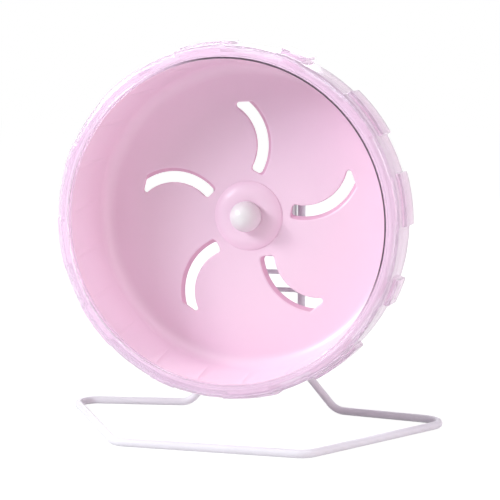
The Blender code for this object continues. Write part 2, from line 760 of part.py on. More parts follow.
def build_bearing(place, front):
    """Deep-groove ball bearing: two races, ball cage, balls and two shields."""
    middle = front + BEARING_WIDTH / 2
    back = front + BEARING_WIDTH
    groove = BALL_RADIUS + RACE_CLEARANCE
    chamfer = SEAT_GAP
    for race, bore, shoulder, side in (
        ("inner_race", BEARING_BORE, INNER_SHOULDER, -1),
        ("outer_race", BEARING_OUTER, OUTER_SHOULDER, 1),
    ):
        reach = abs(shoulder - PITCH_RADIUS)
        half = math.acos(reach / groove)
        arc = []
        for k in range(RACE_ARC_STEPS + 1):
            angle = -half + 2 * half * k / RACE_ARC_STEPS
            radius = PITCH_RADIUS + side * groove * math.cos(angle)
            arc.append((radius, middle + groove * math.sin(angle)))
        outline = [(bore, front + chamfer), (bore - side * chamfer, front), (shoulder, front)]
        outline += arc
        outline += [(shoulder, back), (bore - side * chamfer, back), (bore, back - chamfer)]
        turned(place + "_bearing_" + race, outline, "steel", RACE_STEPS, 40.0, middle)
    cage_in = PITCH_RADIUS - CAGE_WALL / 2
    cage_out = PITCH_RADIUS + CAGE_WALL / 2
    cage_front = middle - BALL_RADIUS + CAGE_MOUTH
    cage_back = middle + BALL_RADIUS + RACE_CLEARANCE + CAGE_BRIDGE
    cage_outline = [
        (cage_in, cage_front),
        (cage_out, cage_front),
        (cage_out, cage_back),
        (cage_in, cage_back),
    ]
    cage = turned(place + "_bearing_cage", cage_outline, "cage_brass", 4 * BALL_COUNT, 40.0, middle)
    pairs = []
    for k in range(BALL_COUNT):
        angle = 2 * math.pi * k / BALL_COUNT
        along = Vector((math.cos(angle), 0, math.sin(angle)))
        aside = Vector((-math.sin(angle), 0, math.cos(angle)))
        lengthways = Vector((0, 1, 0))
        rows = []
        for radius in (PITCH_RADIUS - BALL_RADIUS, PITCH_RADIUS + BALL_RADIUS):
            row = []
            for n in range(8):
                round_angle = 2 * math.pi * (n + 1 / 2) / 8
                size = (BALL_RADIUS + RACE_CLEARANCE) / math.cos(math.pi / 8)
                offset = aside * math.cos(round_angle) + lengthways * math.sin(round_angle)
                row.append(axle_point(middle) + along * radius + offset * size)
            rows.append(row)
        pairs.append((rows[0], rows[1]))
    boolean(cage, many_prisms(place + "_pocket_cutter", pairs, "steel", axle_point(middle)), "DIFFERENCE")
    for k in range(BALL_COUNT):
        angle = 2 * math.pi * k / BALL_COUNT
        centre = axle_point(middle, PITCH_RADIUS * math.cos(angle), PITCH_RADIUS * math.sin(angle))
        build_ball(place + "_bearing_ball_" + str(k + 1), centre)
    shield_in = INNER_SHOULDER + SEAT_GAP
    shield_out = OUTER_SHOULDER - SEAT_GAP
    for name, start in (
        (place + "_bearing_front_shield", front + SHIELD_INSET),
        (place + "_bearing_rear_shield", back - SHIELD_INSET - SHIELD_WALL),
    ):
        tube(name, shield_in, shield_out, start, start + SHIELD_WALL, "steel")


def build_ball(name, centre):
    bm = bmesh.new()
    bmesh.ops.create_uvsphere(bm, u_segments=BALL_STEPS, v_segments=BALL_STEPS * 5 // 8, radius=BALL_RADIUS)
    mesh = bpy.data.meshes.new(name)
    bm.to_mesh(mesh)
    bm.free()
    obj = bpy.data.objects.new(name, mesh)
    obj.location = centre
    bpy.context.scene.collection.objects.link(obj)
    mesh.materials.append(material("steel"))
    mesh.shade_smooth()
    return obj


def hexagon(flats, depth):
    radius = flats / math.sqrt(3)
    return [
        axle_point(depth, radius * math.cos(math.pi * k / 3), radius * math.sin(math.pi * k / 3))
        for k in range(6)
    ]


def circle(radius, depth, across, up, steps):
    return [
        axle_point(depth, across + radius * math.cos(a), up + radius * math.sin(a))
        for a in even_angles(steps)
    ]


def stacked_rings(name, rings, kind, origin, smooth=35.0):
    """A solid made of rings with equal point counts, both ends closed flat."""
    verts = [point for ring in rings for point in ring]
    count = len(rings[0])
    faces = grid_faces(len(rings), count, False)
    faces.append(tuple(range(count)))
    faces.append(tuple(range((len(rings) - 1) * count, len(rings) * count)))
    return mesh_object(name, verts, faces, kind, origin, smooth)


def hex_ring(flats, depth, trim, steps_per_side):
    """A hexagon with extra points, pulled in to a circle of the flats less trim."""
    corner = flats / math.sqrt(3)
    points = []
    corners = [
        Vector((corner * math.cos(math.pi * k / 3), corner * math.sin(math.pi * k / 3)))
        for k in range(6)
    ]
    for k in range(6):
        one = corners[k]
        two = corners[(k + 1) % 6]
        for n in range(steps_per_side):
            spot = one.lerp(two, n / steps_per_side)
            if trim:
                spot = spot.normalized() * min(spot.length, flats / 2 - trim)
            points.append(axle_point(depth, spot.x, spot.y))
    return points


def build_axle():
    shank = BEARING_BORE - SEAT_GAP
    steps_per_side = SMALL_STEPS // 6
    rings = [
        hex_ring(BOLT_HEAD_FLATS, BOLT_FRONT, BOLT_CHAMFER / 2, steps_per_side),
        hex_ring(BOLT_HEAD_FLATS, BOLT_FRONT + BOLT_CHAMFER, 0.0, steps_per_side),
        hex_ring(BOLT_HEAD_FLATS, BOLT_SEAT, 0.0, steps_per_side),
        circle(shank, BOLT_SEAT, 0.0, 0.0, SMALL_STEPS),
        circle(shank, BOLT_BACK - BOLT_CHAMFER, 0.0, 0.0, SMALL_STEPS),
        circle(shank - BOLT_CHAMFER, BOLT_BACK, 0.0, 0.0, SMALL_STEPS),
    ]
    stacked_rings("axle_bolt", rings, "steel", axle_point(BOLT_SEAT))
    tube("front_washer", BEARING_BORE, WASHER_RADIUS, WASHER_FRONT, WASHER_FRONT + WASHER_WALL, "steel")
    between_front = BEARING_FRONT + BEARING_WIDTH + SEAT_GAP
    between_back = BEARING_REAR - SEAT_GAP
    tube("inner_spacer", BEARING_BORE, SPACER_RADIUS, between_front, between_back, "steel")
    sleeve_in = BEARING_OUTER - SLEEVE_WALL
    tube("bearing_sleeve", sleeve_in, BEARING_OUTER, between_front, between_back, "white_plastic")
    tube("rear_spacer", BEARING_BORE, REAR_SPACER_RADIUS, REAR_SPACER_FRONT, REAR_SPACER_END, "steel")
    build_nut()


def tube(name, inner, outer, front, back, kind):
    outline = [(inner, front), (outer, front), (outer, back), (inner, back)]
    return turned(name, outline, kind, RACE_STEPS, 40.0, (front + back) / 2)


def build_nut():
    """Lock nut with a plain bore, seated in the hexagonal pocket of the clamp."""
    steps_per_side = SMALL_STEPS // 6
    bore = BEARING_BORE
    rings = [
        circle(bore, NUT_FRONT, 0.0, 0.0, SMALL_STEPS),
        hex_ring(NUT_FLATS, NUT_FRONT, 0.0, steps_per_side),
        hex_ring(NUT_FLATS, NUT_BACK - BOLT_CHAMFER, 0.0, steps_per_side),
        hex_ring(NUT_FLATS, NUT_BACK, BOLT_CHAMFER / 2, steps_per_side),
        circle(bore, NUT_BACK, 0.0, 0.0, SMALL_STEPS),
    ]
    verts = [point for ring in rings for point in ring]
    faces = grid_faces(len(rings), SMALL_STEPS, True)
    mesh_object("lock_nut", verts, faces, "steel", axle_point(NUT_FRONT), 35.0)


def plate_outline(inset, depth):
    """H-shaped plate: jaws at the four corners and a waist that leaves the uprights bare."""
    side = UPRIGHT_HALF + GROOVE_RADIUS + CARRIER_SIDE_WALL - inset
    waist = UPRIGHT_HALF - WIRE_RADIUS - WAIST_CLEARANCE - inset
    top = UPRIGHT_TOP + GROOVE_RADIUS + CARRIER_TOP_WALL - inset
    bottom = -CARRIER_DROP + inset
    above = WAIST_ABOVE + inset
    below = -WAIST_BELOW - inset
    right = [(side, bottom), (side, below), (waist, below), (waist, above), (side, above), (side, top)]
    rounds = [CARRIER_CORNER] + [CARRIER_CORNER / 2] * 4 + [CARRIER_CORNER]
    corners = [axle_point(depth, across, up) for across, up in right]
    corners += [axle_point(depth, -across, up) for across, up in reversed(right)]
    return rounded_loop(corners, rounds + rounds, 2)


def bow_path():
    """Centre line of the bow and of both uprights, down past the carrier."""
    low = -CARRIER_DROP - CARRIER_CORNER
    feet = [axle_point(UPRIGHT_DEPTH, side * UPRIGHT_HALF, low) for side in (1, -1)]
    tops = [axle_point(UPRIGHT_DEPTH, side * UPRIGHT_HALF, UPRIGHT_TOP) for side in (1, -1)]
    right = round_corner(feet[0], tops[0], tops[1], TOP_BEND, BEND_STEPS)
    left = round_corner(tops[0], tops[1], feet[1], TOP_BEND, BEND_STEPS)
    return [feet[0]] + right + left + [feet[1]]


def bow_groove(name):
    """Cutter that leaves room for the wire in both plates."""
    origin = axle_point(UPRIGHT_DEPTH)
    return wire_solid(name, bow_path(), GROOVE_RADIUS, "white_plastic", False, WIRE_SIDES, origin)


def screw_spots():
    return [(side * SCREW_ACROSS, up) for side in (-1, 1) for up in (SCREW_ABOVE, -SCREW_BELOW)]


def round_holes(name, holes, back):
    """Cutters for holes (radius, start depth, across, up) that run to one depth at the back."""
    pairs = []
    for radius, start, across, up in holes:
        near = circle(radius, start, across, up, SMALL_STEPS // 2)
        far = circle(radius, back, across, up, SMALL_STEPS // 2)
        pairs.append((near, far))
    return many_prisms(name, pairs, "white_plastic", axle_point(back))


def build_carrier():
    """Two plates screwed together round the bow: one carries the axle, one clamps."""
    edge = CARRIER_EDGE
    rings = [
        plate_outline(edge, CARRIER_FRONT),
        plate_outline(0.0, CARRIER_FRONT + edge),
        plate_outline(0.0, CARRIER_BACK),
    ]
    plate = stacked_rings("axle_carrier", rings, "white_plastic", axle_point(CARRIER_FRONT))
    rings = [
        plate_outline(0.0, CLAMP_FRONT),
        plate_outline(0.0, CLAMP_BACK - edge),
        plate_outline(edge, CLAMP_BACK),
    ]
    clamp = stacked_rings("carrier_clamp", rings, "white_plastic", axle_point(CLAMP_BACK))
    through = CLAMP_BACK + CLAMP_WALL
    screw_hole = SCREW_RADIUS + SEAT_GAP
    holes = [(screw_hole, SCREW_TIP - SEAT_GAP, across, up) for across, up in screw_spots()]
    holes.append((BEARING_BORE, CARRIER_FRONT - CLAMP_WALL, 0.0, 0.0))
    boolean(plate, round_holes("carrier_hole_cutter", holes, through), "DIFFERENCE")
    boolean(plate, bow_groove("carrier_groove_cutter"), "DIFFERENCE")
    boolean(clamp, round_holes("clamp_hole_cutter", holes, through), "DIFFERENCE")
    boolean(clamp, bow_groove("clamp_groove_cutter"), "DIFFERENCE")
    pocket = NUT_FLATS + 2 * SEAT_GAP
    nut_room = [(hexagon(pocket, NUT_FRONT - SEAT_GAP), hexagon(pocket, through))]
    cutter = many_prisms("nut_pocket_cutter", nut_room, "white_plastic", axle_point(NUT_FRONT))
    boolean(clamp, cutter, "DIFFERENCE")


def build_screws():
    names = ("upper_left", "lower_left", "upper_right", "lower_right")
    steps = SMALL_STEPS * 2 // 3
    for name, (across, up) in zip(names, screw_spots()):
        head_back = SCREW_SEAT + SCREW_HEAD_HEIGHT
        rings = [
            circle(SCREW_RADIUS / 2, SCREW_TIP, across, up, steps),
            circle(SCREW_RADIUS, SCREW_TIP + SCREW_RADIUS, across, up, steps),
            circle(SCREW_RADIUS, SCREW_SEAT, across, up, steps),
            circle(SCREW_HEAD_RADIUS, SCREW_SEAT, across, up, steps),
            circle(SCREW_HEAD_RADIUS, SCREW_SEAT + SCREW_HEAD_HEIGHT / 2, across, up, steps),
            circle(SCREW_HEAD_RADIUS * 2 / 3, head_back, across, up, steps),
        ]
        screw = stacked_rings("clamp_screw_" + name, rings, "steel", axle_point(SCREW_SEAT, across, up))
        length = SCREW_HEAD_RADIUS * SCREW_SLOT_SHARE
        arms = []
        for wide, tall in ((length, SCREW_SLOT_WIDTH / 2), (SCREW_SLOT_WIDTH / 2, length)):
            rows = []
            for depth in (head_back - SCREW_HEAD_HEIGHT / 2, head_back + SCREW_HEAD_HEIGHT / 2):
                corners = ((1, 1), (-1, 1), (-1, -1), (1, -1))
                rows.append([axle_point(depth, across + wide * a, up + tall * b) for a, b in corners])
            arms.append((rows[0], rows[1]))
        for number, arm in enumerate(arms):
            cutter = many_prisms(name + "_recess_" + str(number), [arm], "steel", axle_point(SCREW_SEAT))
            boolean(screw, cutter, "DIFFERENCE")


def stand_point(across, depth, height):
    return Vector((across, FRONT_Y + depth, height))


def build_stand():
    """One closed loop of wire: base, legs, uprights and the bow over their top."""
    half = [
        (FRONT_HALF, FRONT_BAR_DEPTH, BASE_Z, BASE_BEND),
        (BACK_HALF, BACK_DEPTH, BASE_Z, BASE_BEND),
        (LEG_FOOT_HALF, UPRIGHT_DEPTH, BASE_Z, LEG_BEND),
        (UPRIGHT_HALF, UPRIGHT_DEPTH, AXLE_HEIGHT - LEG_BEND_DROP, LEG_BEND),
        (UPRIGHT_HALF, UPRIGHT_DEPTH, AXLE_HEIGHT + UPRIGHT_TOP, TOP_BEND),
    ]
    corners = [stand_point(x, y, z) for x, y, z, bend in half]
    radii = [bend for x, y, z, bend in half]
    corners += [stand_point(-x, y, z) for x, y, z, bend in reversed(half)]
    radii += list(reversed(radii))
    path = rounded_loop(corners, radii, BEND_STEPS)
    origin = stand_point(0.0, UPRIGHT_DEPTH, 0.0)
    wire_solid("wire_stand", path, WIRE_RADIUS, "coated_wire", True, WIRE_SIDES, origin)
    reach = UPRIGHT_HALF - WIRE_RADIUS - SEAT_GAP
    names = ("upper", "middle", "lower")
    for k in range(RUNG_COUNT):
        height = AXLE_HEIGHT - FIRST_RUNG_DROP - k * RUNG_PITCH
        ends = [stand_point(side * reach, UPRIGHT_DEPTH, height) for side in (-1, 1)]
        middle = stand_point(0.0, UPRIGHT_DEPTH, height)
        name = "cross_rung_" + names[k]
        wire_solid(name, ends, RUNG_RADIUS, "coated_wire", False, RUNG_SIDES, middle)


clear_scene()
build_stand()
build_wheel_bowl()
build_front_ring()
build_hub_cap()
build_bearing("front", BEARING_FRONT)
build_bearing("rear", BEARING_REAR)
build_axle()
build_carrier()
build_screws()
bpy.context.view_layer.update()
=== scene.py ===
"""Pink running wheel for a hamster, with a clear front ring, on a white bent-wire stand."""
import json
import math

import bmesh
import bpy
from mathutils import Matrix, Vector


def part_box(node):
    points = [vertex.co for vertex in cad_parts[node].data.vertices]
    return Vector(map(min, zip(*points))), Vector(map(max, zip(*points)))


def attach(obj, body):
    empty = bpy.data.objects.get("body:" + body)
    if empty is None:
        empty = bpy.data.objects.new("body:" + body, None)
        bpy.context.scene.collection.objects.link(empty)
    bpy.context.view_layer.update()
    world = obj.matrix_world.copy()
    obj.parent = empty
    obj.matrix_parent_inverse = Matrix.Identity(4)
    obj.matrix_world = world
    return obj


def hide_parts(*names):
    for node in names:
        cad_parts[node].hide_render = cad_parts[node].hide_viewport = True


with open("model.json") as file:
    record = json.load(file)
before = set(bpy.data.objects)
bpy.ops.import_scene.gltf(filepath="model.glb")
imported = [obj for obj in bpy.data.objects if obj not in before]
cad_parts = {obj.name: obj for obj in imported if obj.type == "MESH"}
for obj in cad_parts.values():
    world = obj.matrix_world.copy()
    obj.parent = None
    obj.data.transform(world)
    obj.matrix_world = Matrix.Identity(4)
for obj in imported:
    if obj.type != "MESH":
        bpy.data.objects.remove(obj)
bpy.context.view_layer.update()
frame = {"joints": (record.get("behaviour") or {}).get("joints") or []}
scene = bpy.context.scene

# Lengths are in metres, radii from the axle and depths back from the front of the wheel

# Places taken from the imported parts
spin_joint = next(joint for joint in frame["joints"] if joint["name"] == "wheel_spin")
AXLE = Vector(spin_joint["pos_m"])
FRONT_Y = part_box("front_ring")[0].y
STAND_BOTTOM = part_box("wire_stand")[0].z

# Fineness of the meshes
WELD = 0.000001
TURN_STEPS = 240
SMALL_TURN_STEPS = 72
CAP_TURN_STEPS = 96
CAGE_TURN_STEPS = 84
HEX_TURN_STEPS = 96
SCREW_TURN_STEPS = 48
RUNG_TURN_STEPS = 32
HOLE_SIDES = 48
POCKET_SIDES = 24
BALL_SEGMENTS = 24
BALL_RINGS = 16
GROOVE_STEPS = 12
TAB_STEPS = 12
ROUND_STEPS = 6
SMALL_ROUND_STEPS = 3
BOWL_ROUND_STEPS = 12
SHARP = math.radians(32.0)
FLAT_FACE = 0.99999

# Camera of the photograph
IMAGE_PIXELS = 500
FOCAL_PIXELS = 1526.5
SENSOR = 36.0
CAMERA_AZIMUTH = math.radians(15.43)
CAMERA_ELEVATION = math.radians(6.29)
CAMERA_DISTANCE = 0.8739
AIM_ACROSS = 0.01668
AIM_UP = -0.01452

# Clear ring
LIP_RADIUS = 0.0943
BAND_RADIUS = 0.1022
SKIRT_RADIUS = 0.1030
SKIRT_DRAFT = 0.0007
RING_DEPTH = 0.0340
RING_WALL = 0.0018
BAND_DEPTH = 0.0139
STEP_LENGTH = 0.0006
HEM_DEPTH = 0.0040
HEM_WALL = 0.0018
FRONT_ROUND = 0.0032
EDGE_ROUND = 0.00045
LUG_RISE = 0.0025
LATCH_RISE = 0.0030
BAND_RISE = 0.0005
LUG_COUNT = 12
LATCH_EVERY = 3
LUG_SPAN = math.radians(16.8)
LATCH_SPAN = math.radians(8.6)
FIRST_LUG = math.radians(98.2)
LUG_END_PLACES = (-0.00045, -0.00012, 0.00005, 0.00035, 0.00052, 0.00085)
LUG_END_SHARES = (1.0, 0.96, 0.85, 0.15, 0.04, 0.0)
RING_COLUMNS = 540
RING_ROUND_STEPS = 4
BEAD_ROUND = 0.0006
BEAD_RISE = 0.0003
BEAD_WIDTH = 2 * BEAD_ROUND
BEAD_FOOT = 2.5 * BEAD_ROUND
# Width of the painted shade line round the opening
PAINTED_SHADE_WIDTH = 1.7 * BEAD_ROUND
WINDOW_DEPTH = 0.02395
WINDOW_WIDTH = 0.0032
WINDOW_SPAN = math.radians(4.8)

# Running bowl
SEAT_GAP = 0.0003
BOWL_WALL = 0.0024
BOWL_DRAFT = 0.0005
FLANGE = 0.0009
FLANGE_DEPTH = 0.0034
DISC_DEPTH = 0.0570
DISC_WALL = 0.0026
CORNER_RADIUS = 0.0085
RIM_ROUND = 0.0006
TREAD_COUNT = 22
TREAD_HEIGHT = 0.0004
TREAD_WIDTH = 0.0026
TREAD_START = 0.0050
TREAD_SINK = 0.00005
TREAD_LEAN = math.radians(-4.0)
FIRST_TREAD = math.radians(243.4)

# Swirl slots
SLOT_COUNT = 5
SLOT_CENTRE_RADIUS = 0.0483
SLOT_CENTRE_ANGLE = math.radians(117.1)
SLOT_INNER = 0.0273
SLOT_OUTER = 0.0338
SLOT_RAMP = 0.0026
SLOT_START = math.radians(-27.3)
SLOT_START_REACH = 0.0022
SLOT_END = 0.0694
SLOT_START_CORNER = 0.0021
SLOT_END_CORNER = 0.0017
SLOT_EDGE = 0.0008
SLOT_BACK_EDGE = 0.0004
SLOT_SLIVER = SLOT_EDGE / 40
SLOT_SIDE_STEPS = 32

# Boss, nose and bearing tube
BOSS_RADIUS = 0.0212
BOSS_STEP = 0.0007
BOSS_HEIGHT = 0.0036
NOSE_RADIUS = 0.0116
NOSE_HOLE = 0.0076
NOSE_BLEND_SHARE = 0.9
POCKET_RADIUS = 0.0098
HUB_RADIUS = 0.0132
HUB_END = 0.0806
HUB_FILLET = 0.0022
GUSSET_COUNT = 10
GUSSET_REACH = 0.0070
GUSSET_HEIGHT = 0.0130
GUSSET_WALL = 0.0018

# Cap
CAP_RADIUS = 0.0093
CAP_SIDE = 0.0037
CAP_ROUND = 0.0003
CAP_WALL = 0.0012
CAP_PLUG = 0.0026
CAP_STEPS = 24

# Bearings and axle
BORE = 0.0030
BEARING_OUTER = 0.0095
BEARING_WIDTH = 0.0060
BEARING_FRONT = 0.0580
BEARING_REAR = 0.0740
BALL_RADIUS = 0.00175
BALL_COUNT = 7
PITCH_RADIUS = 0.00625
RACE_CLEARANCE = 0.00012
BALL_GROOVE = BALL_RADIUS + RACE_CLEARANCE
INNER_SHOULDER = 0.0047
OUTER_SHOULDER = 0.0078
SHIELD_WALL = 0.00035
SHIELD_INSET = 0.00025
CAGE_WALL = 0.0006
CAGE_FRONT = 0.0010
CAGE_BACK = 0.0022
WASHER_RADIUS = 0.0056
WASHER_WALL = 0.0010
SPACER_RADIUS = 0.0046
SLEEVE_WALL = 0.0015
COLLAR_RADIUS = 0.0050
COLLAR_LENGTH = 0.0030
HEX_FLATS = 0.0100
HEAD_HEIGHT = 0.0040
HEX_CHAMFER = 0.0006
NUT_FRONT = 0.09235
NUT_HEIGHT = 0.0050
INSERT_SEAT_WALL = 0.0011
INSERT_SEAT_DEPTH = 2 * HEX_CHAMFER
INSERT_WALL = 0.0010
INSERT_DEPTH = 1.5 * HEX_CHAMFER
INSERT_RISE = HEX_CHAMFER / 3
BOLT_BACK = 0.09835
THREAD_PITCH = 0.0010
THREAD_DEPTH = 0.00045
ROOT_START_SHARE = 0.45
ROOT_END_SHARE = 0.55
CREST_START_SHARE = 0.95

# Stand
WIRE_RADIUS = 0.0024148
UPRIGHT_HALF = 0.0256
UPRIGHT_DEPTH = 0.0893
UPRIGHT_TOP = 0.0180
LEG_BEND_DROP = 0.0982
LEG_FOOT_HALF = 0.0483
BACK_HALF = 0.12375
BACK_DEPTH = 0.0770
FRONT_HALF = 0.0571
FRONT_BAR_DEPTH = -0.0276
BASE_BEND = 0.0115
LEG_BEND = 0.0120
TOP_BEND = 0.0080
BEND_STEPS = 16
WIRE_SIDES = 32
RUNG_RADIUS = 0.0015
RUNG_PITCH = 0.0112
FIRST_RUNG_DROP = 0.0268
WELD_REACH = 0.0016
WELD_RADIUS = 0.0023

# Axle carrier
CARRIER_FRONT = 0.0836
CARRIER_SPLIT = 0.0007
CARRIER_SIDE_WALL = 0.0022
CARRIER_TOP_WALL = 0.0020
CARRIER_DROP = 0.0180
CARRIER_CORNER = 0.0030
CARRIER_EDGE = 0.0007
WAIST_ABOVE = 0.0075
WAIST_BELOW = 0.0065
WAIST_HALF = 0.0217
GROOVE_RADIUS = 0.0028
CLAMP_WALL = 0.0024
SCREW_RADIUS = 0.0015
SCREW_HEAD_RADIUS = 0.0029
SCREW_HEAD_HEIGHT = 0.0020
SCREW_CROWN_SHARE = 0.62
SCREW_TIP_INSET = 0.0015
SCREW_HOLE_INSET = 0.0012
CROSS_LONG = 0.0017
CROSS_NARROW = 0.0004
CROSS_FLOOR = SCREW_HEAD_HEIGHT / 2
CROSS_FLOOR_SHARE = 0.6
CROSS_MOUTH = SCREW_HEAD_HEIGHT * 1.5
CROSS_MOUTH_SHARE = 1.2
SCREW_ACROSS = 0.0150
SCREW_ABOVE = 0.0110
SCREW_BELOW = 0.0120

# Floor
FLOOR_SIZE = 6.0
FLOOR_COLOUR = (0.86, 0.86, 0.86, 1.0)
FLOOR_ROUGHNESS = 0.9
FLOOR_SHARE = 0.8
FLOOR_GLOW_NEAR = 1.17
FLOOR_NEAR = 0.15
FLOOR_FAR = 0.60

# Light: azimuth round the wheel's face, elevation out of its disc, distance, size, power, colour
WORLD_FILL = 0.0
ROOM_DARK = -0.90
ROOM_WHITE = -0.30
ROOM_LEVEL = 0.15
LAMPS = (
    ("window_top", 148.0, 46.0, 1.3, 0.3, 2.6, (0.96, 1.0, 1.07)),
    ("window_upper", 148.0, 36.0, 1.3, 0.3, 5.6, (0.96, 1.0, 1.07)),
    ("window_lower", 148.0, 27.0, 1.3, 0.3, 6.0, (0.90, 1.0, 0.90)),
    ("window_foot", 148.0, 18.0, 1.3, 0.3, 1.6, (1.00, 1.0, 0.90)),
    ("right_wall", 11.3, 28.3, 1.6, 1.2, 8.7, (1.10, 1.0, 0.97)),
    ("right_back", 20.0, -10.0, 1.6, 1.2, 5.0, (1.06, 0.95, 1.08)),
    ("ceiling", 90.0, 31.0, 1.6, 1.2, 5.6, (0.96, 1.0, 0.96)),
    ("upper_right", 58.0, 18.0, 1.5, 0.4, 3.7, (0.90, 1.0, 1.10)),
    ("back_fill", 125.0, -55.0, 1.6, 1.2, 9.0, (1.0, 0.97, 1.03)),
)

# Colours
PINK = (0.90, 0.665, 0.80, 1.0)
# Darker pink painted on the slot walls as shade
SLOT_PAINTED_SHADE_PINK = (0.78, 0.46, 0.62, 1.0)
CLEAR = (0.90, 0.75, 0.885, 1.0)
# Painted shade on the edge of the clear ring's opening: a grey all round, painted darker toward the side
# away from the window, in place of the dark line that light through the plastic shows there
LIP_PAINTED_GREY = (0.78, 0.66, 0.76)
LIP_PAINTED_SHADE = (0.02, 0.014, 0.02)
PAINTED_SHADE_ANGLE = math.radians(42.0)
PAINTED_SHADE_START = 0.2
PAINTED_SHADE_FULL = 0.6
CLEAR_IOR = 1.49
CLEAR_ROUGHNESS = 0.18
CLEAR_WEIGHT = 0.75
CLEAR_SHADE = 0.04
CLEAR_BOUNCES = 24
WHITE = (0.86, 0.85, 0.87, 1.0)
CAP_WHITE = (0.77, 0.73, 0.75, 1.0)
WIRE_WHITE = (0.79, 0.745, 0.81, 1.0)
NYLON = (0.80, 0.82, 0.84, 1.0)
STEEL = (0.62, 0.62, 0.64, 1.0)
BRASS = (0.70, 0.52, 0.28, 1.0)

# Patterns of the skins
RUB_STRETCH = (40.0, 260.0, 900.0)
RUB_START = 0.52
RUB_FULL = 0.75
BLOTCH_SCALE = 400.0
PEEL_SCALE = 900.0
PEEL_GRAIN_SCALE = 2600.0
PEEL_GRAIN_SHARE = 0.35
PEEL_HEIGHT = 0.00003
PEEL_STRENGTH = 0.6
COAT_CLOUD_SCALE = 60.0
COAT_TONE_SPREAD = 0.05
COAT_SMOOTHEST = 0.38
COAT_ROUGHEST = 0.52


def place(radius, depth, angle=0.0):
    """A point at a radius from the axle and a depth behind the front of the wheel."""
    return Vector((radius * math.cos(angle), FRONT_Y + depth, AXLE.z + radius * math.sin(angle)))


def spot(across, depth, up):
    """A point beside the axle."""
    return Vector((across, FRONT_Y + depth, AXLE.z + up))


def wrapped(angle):
    """The same angle between half a turn back and half a turn on."""
    return (angle + math.pi) % (2 * math.pi) - math.pi


def bend(centre, first, last, steps):
    """Points of the arc round a centre from one point to another."""
    one = first - centre
    two = last - centre
    sweep = one.angle(two)
    points = []
    for n in range(steps + 1):
        share = n / steps
        from_one = one * math.sin((1 - share) * sweep)
        from_two = two * math.sin(share * sweep)
        points.append(centre + (from_one + from_two) / math.sin(sweep))
    return points


def rounded(corners, closed=True, steps=ROUND_STEPS):
    """Outline with round corners: each corner is its coordinates and then its radius."""
    points = []
    count = len(corners)
    for k, corner in enumerate(corners):
        here = Vector(corner[:-1])
        radius = corner[-1]
        if radius <= 0 or (not closed and k in (0, count - 1)):
            points.append(here)
            continue
        before = Vector(corners[k - 1][:-1]) - here
        after = Vector(corners[(k + 1) % count][:-1]) - here
        half = before.angle(after) / 2
        reach = min(radius / math.tan(half), before.length, after.length)
        middle = here + (before.normalized() + after.normalized()).normalized() * reach / math.cos(half)
        first = here + before.normalized() * reach
        last = here + after.normalized() * reach
        points += bend(middle, first, last, steps)
    return points


def spun(points, closed, steps, centre=AXLE, axis=(0, 1, 0)):
    """Turns a line of points round an axis into a closed skin."""
    bm = bmesh.new()
    verts = [bm.verts.new(point) for point in points]
    ends = verts[1:] + verts[:1] if closed else verts[1:]
    edges = [bm.edges.new(pair) for pair in zip(verts, ends)]
    bmesh.ops.spin(
        bm, geom=verts + edges, cent=centre, axis=axis, dvec=(0, 0, 0),
        angle=2 * math.pi, steps=steps, use_merge=True, use_duplicate=False,
    )
    bmesh.ops.remove_doubles(bm, verts=bm.verts[:], dist=WELD)
    bmesh.ops.recalc_face_normals(bm, faces=bm.faces[:])
    return bm


def turned(outline, closed=True, steps=SMALL_TURN_STEPS):
    """Turns (radius, depth) points round the axle."""
    return spun([place(radius, depth) for radius, depth in outline], closed, steps)


def skinned(bm, rows, around=False):
    """Bridges a row of closed loops of points, and caps the ends unless they meet."""
    rings = []
    for points in rows:
        verts = [bm.verts.new(point) for point in points]
        rings.append([bm.edges.new(pair) for pair in zip(verts, verts[1:] + verts[:1])])
    following = rings[1:] + rings[:1] if around else rings[1:]
    for one, two in zip(rings, following):
        bmesh.ops.bridge_loops(bm, edges=one + two)
    if not around:
        for ring in (rings[0], rings[-1]):
            made = bmesh.ops.contextual_create(bm, geom=ring)
            bmesh.ops.triangulate(bm, faces=made["faces"])
    return bm


def loose_object(bm, name="cutter"):
    """Puts a mesh in the scene as it is, for a Boolean or as the floor."""
    mesh = bpy.data.meshes.new(name)
    bmesh.ops.recalc_face_normals(bm, faces=bm.faces[:])
    bm.to_mesh(mesh)
    bm.free()
    obj = bpy.data.objects.new(name, mesh)
    scene.collection.objects.link(obj)
    return obj


def combined(bm, tools, operation="DIFFERENCE"):
    """The solid after each tool is cut from it or joined to it."""
    body = loose_object(bm, "blank")
    others = [loose_object(tool) for tool in tools]
    for other in others:
        modifier = body.modifiers.new(operation.lower(), "BOOLEAN")
        modifier.operation = operation
        modifier.solver = "EXACT"
        modifier.object = other
    graph = bpy.context.evaluated_depsgraph_get()
    mesh = bpy.data.meshes.new_from_object(body.evaluated_get(graph))
    result = bmesh.new()
    result.from_mesh(mesh)
    for obj in [body] + others:
        bpy.data.objects.remove(obj, do_unlink=True)
    bpy.data.meshes.remove(mesh)
    bmesh.ops.remove_doubles(result, verts=result.verts[:], dist=WELD)
    return result


def finished(name, bm, nodes, body, material):
    """Makes the piece, hangs it on its body and lets it stand for its solids."""
    mesh = bpy.data.meshes.new(name)
    bm.to_mesh(mesh)
    bm.free()
    mesh.shade_smooth()
    mesh.set_sharp_from_angle(angle=SHARP)
    piece = bpy.data.objects.new(name, mesh)
    scene.collection.objects.link(piece)
    mesh.materials.append(material)
    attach(piece, body)
    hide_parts(*nodes)
    return piece


# Finishes


def add_node(tree, kind, inputs=None, **settings):
    """Adds one shader node. An input is a plain value or the output socket that feeds it."""
    made = tree.nodes.new("ShaderNode" + kind)
    for name, value in settings.items():
        setattr(made, name, value)
    for name, value in (inputs or {}).items():
        if isinstance(value, bpy.types.NodeSocket):
            tree.links.new(value, made.inputs[name])
        else:
            made.inputs[name].default_value = value
    return made


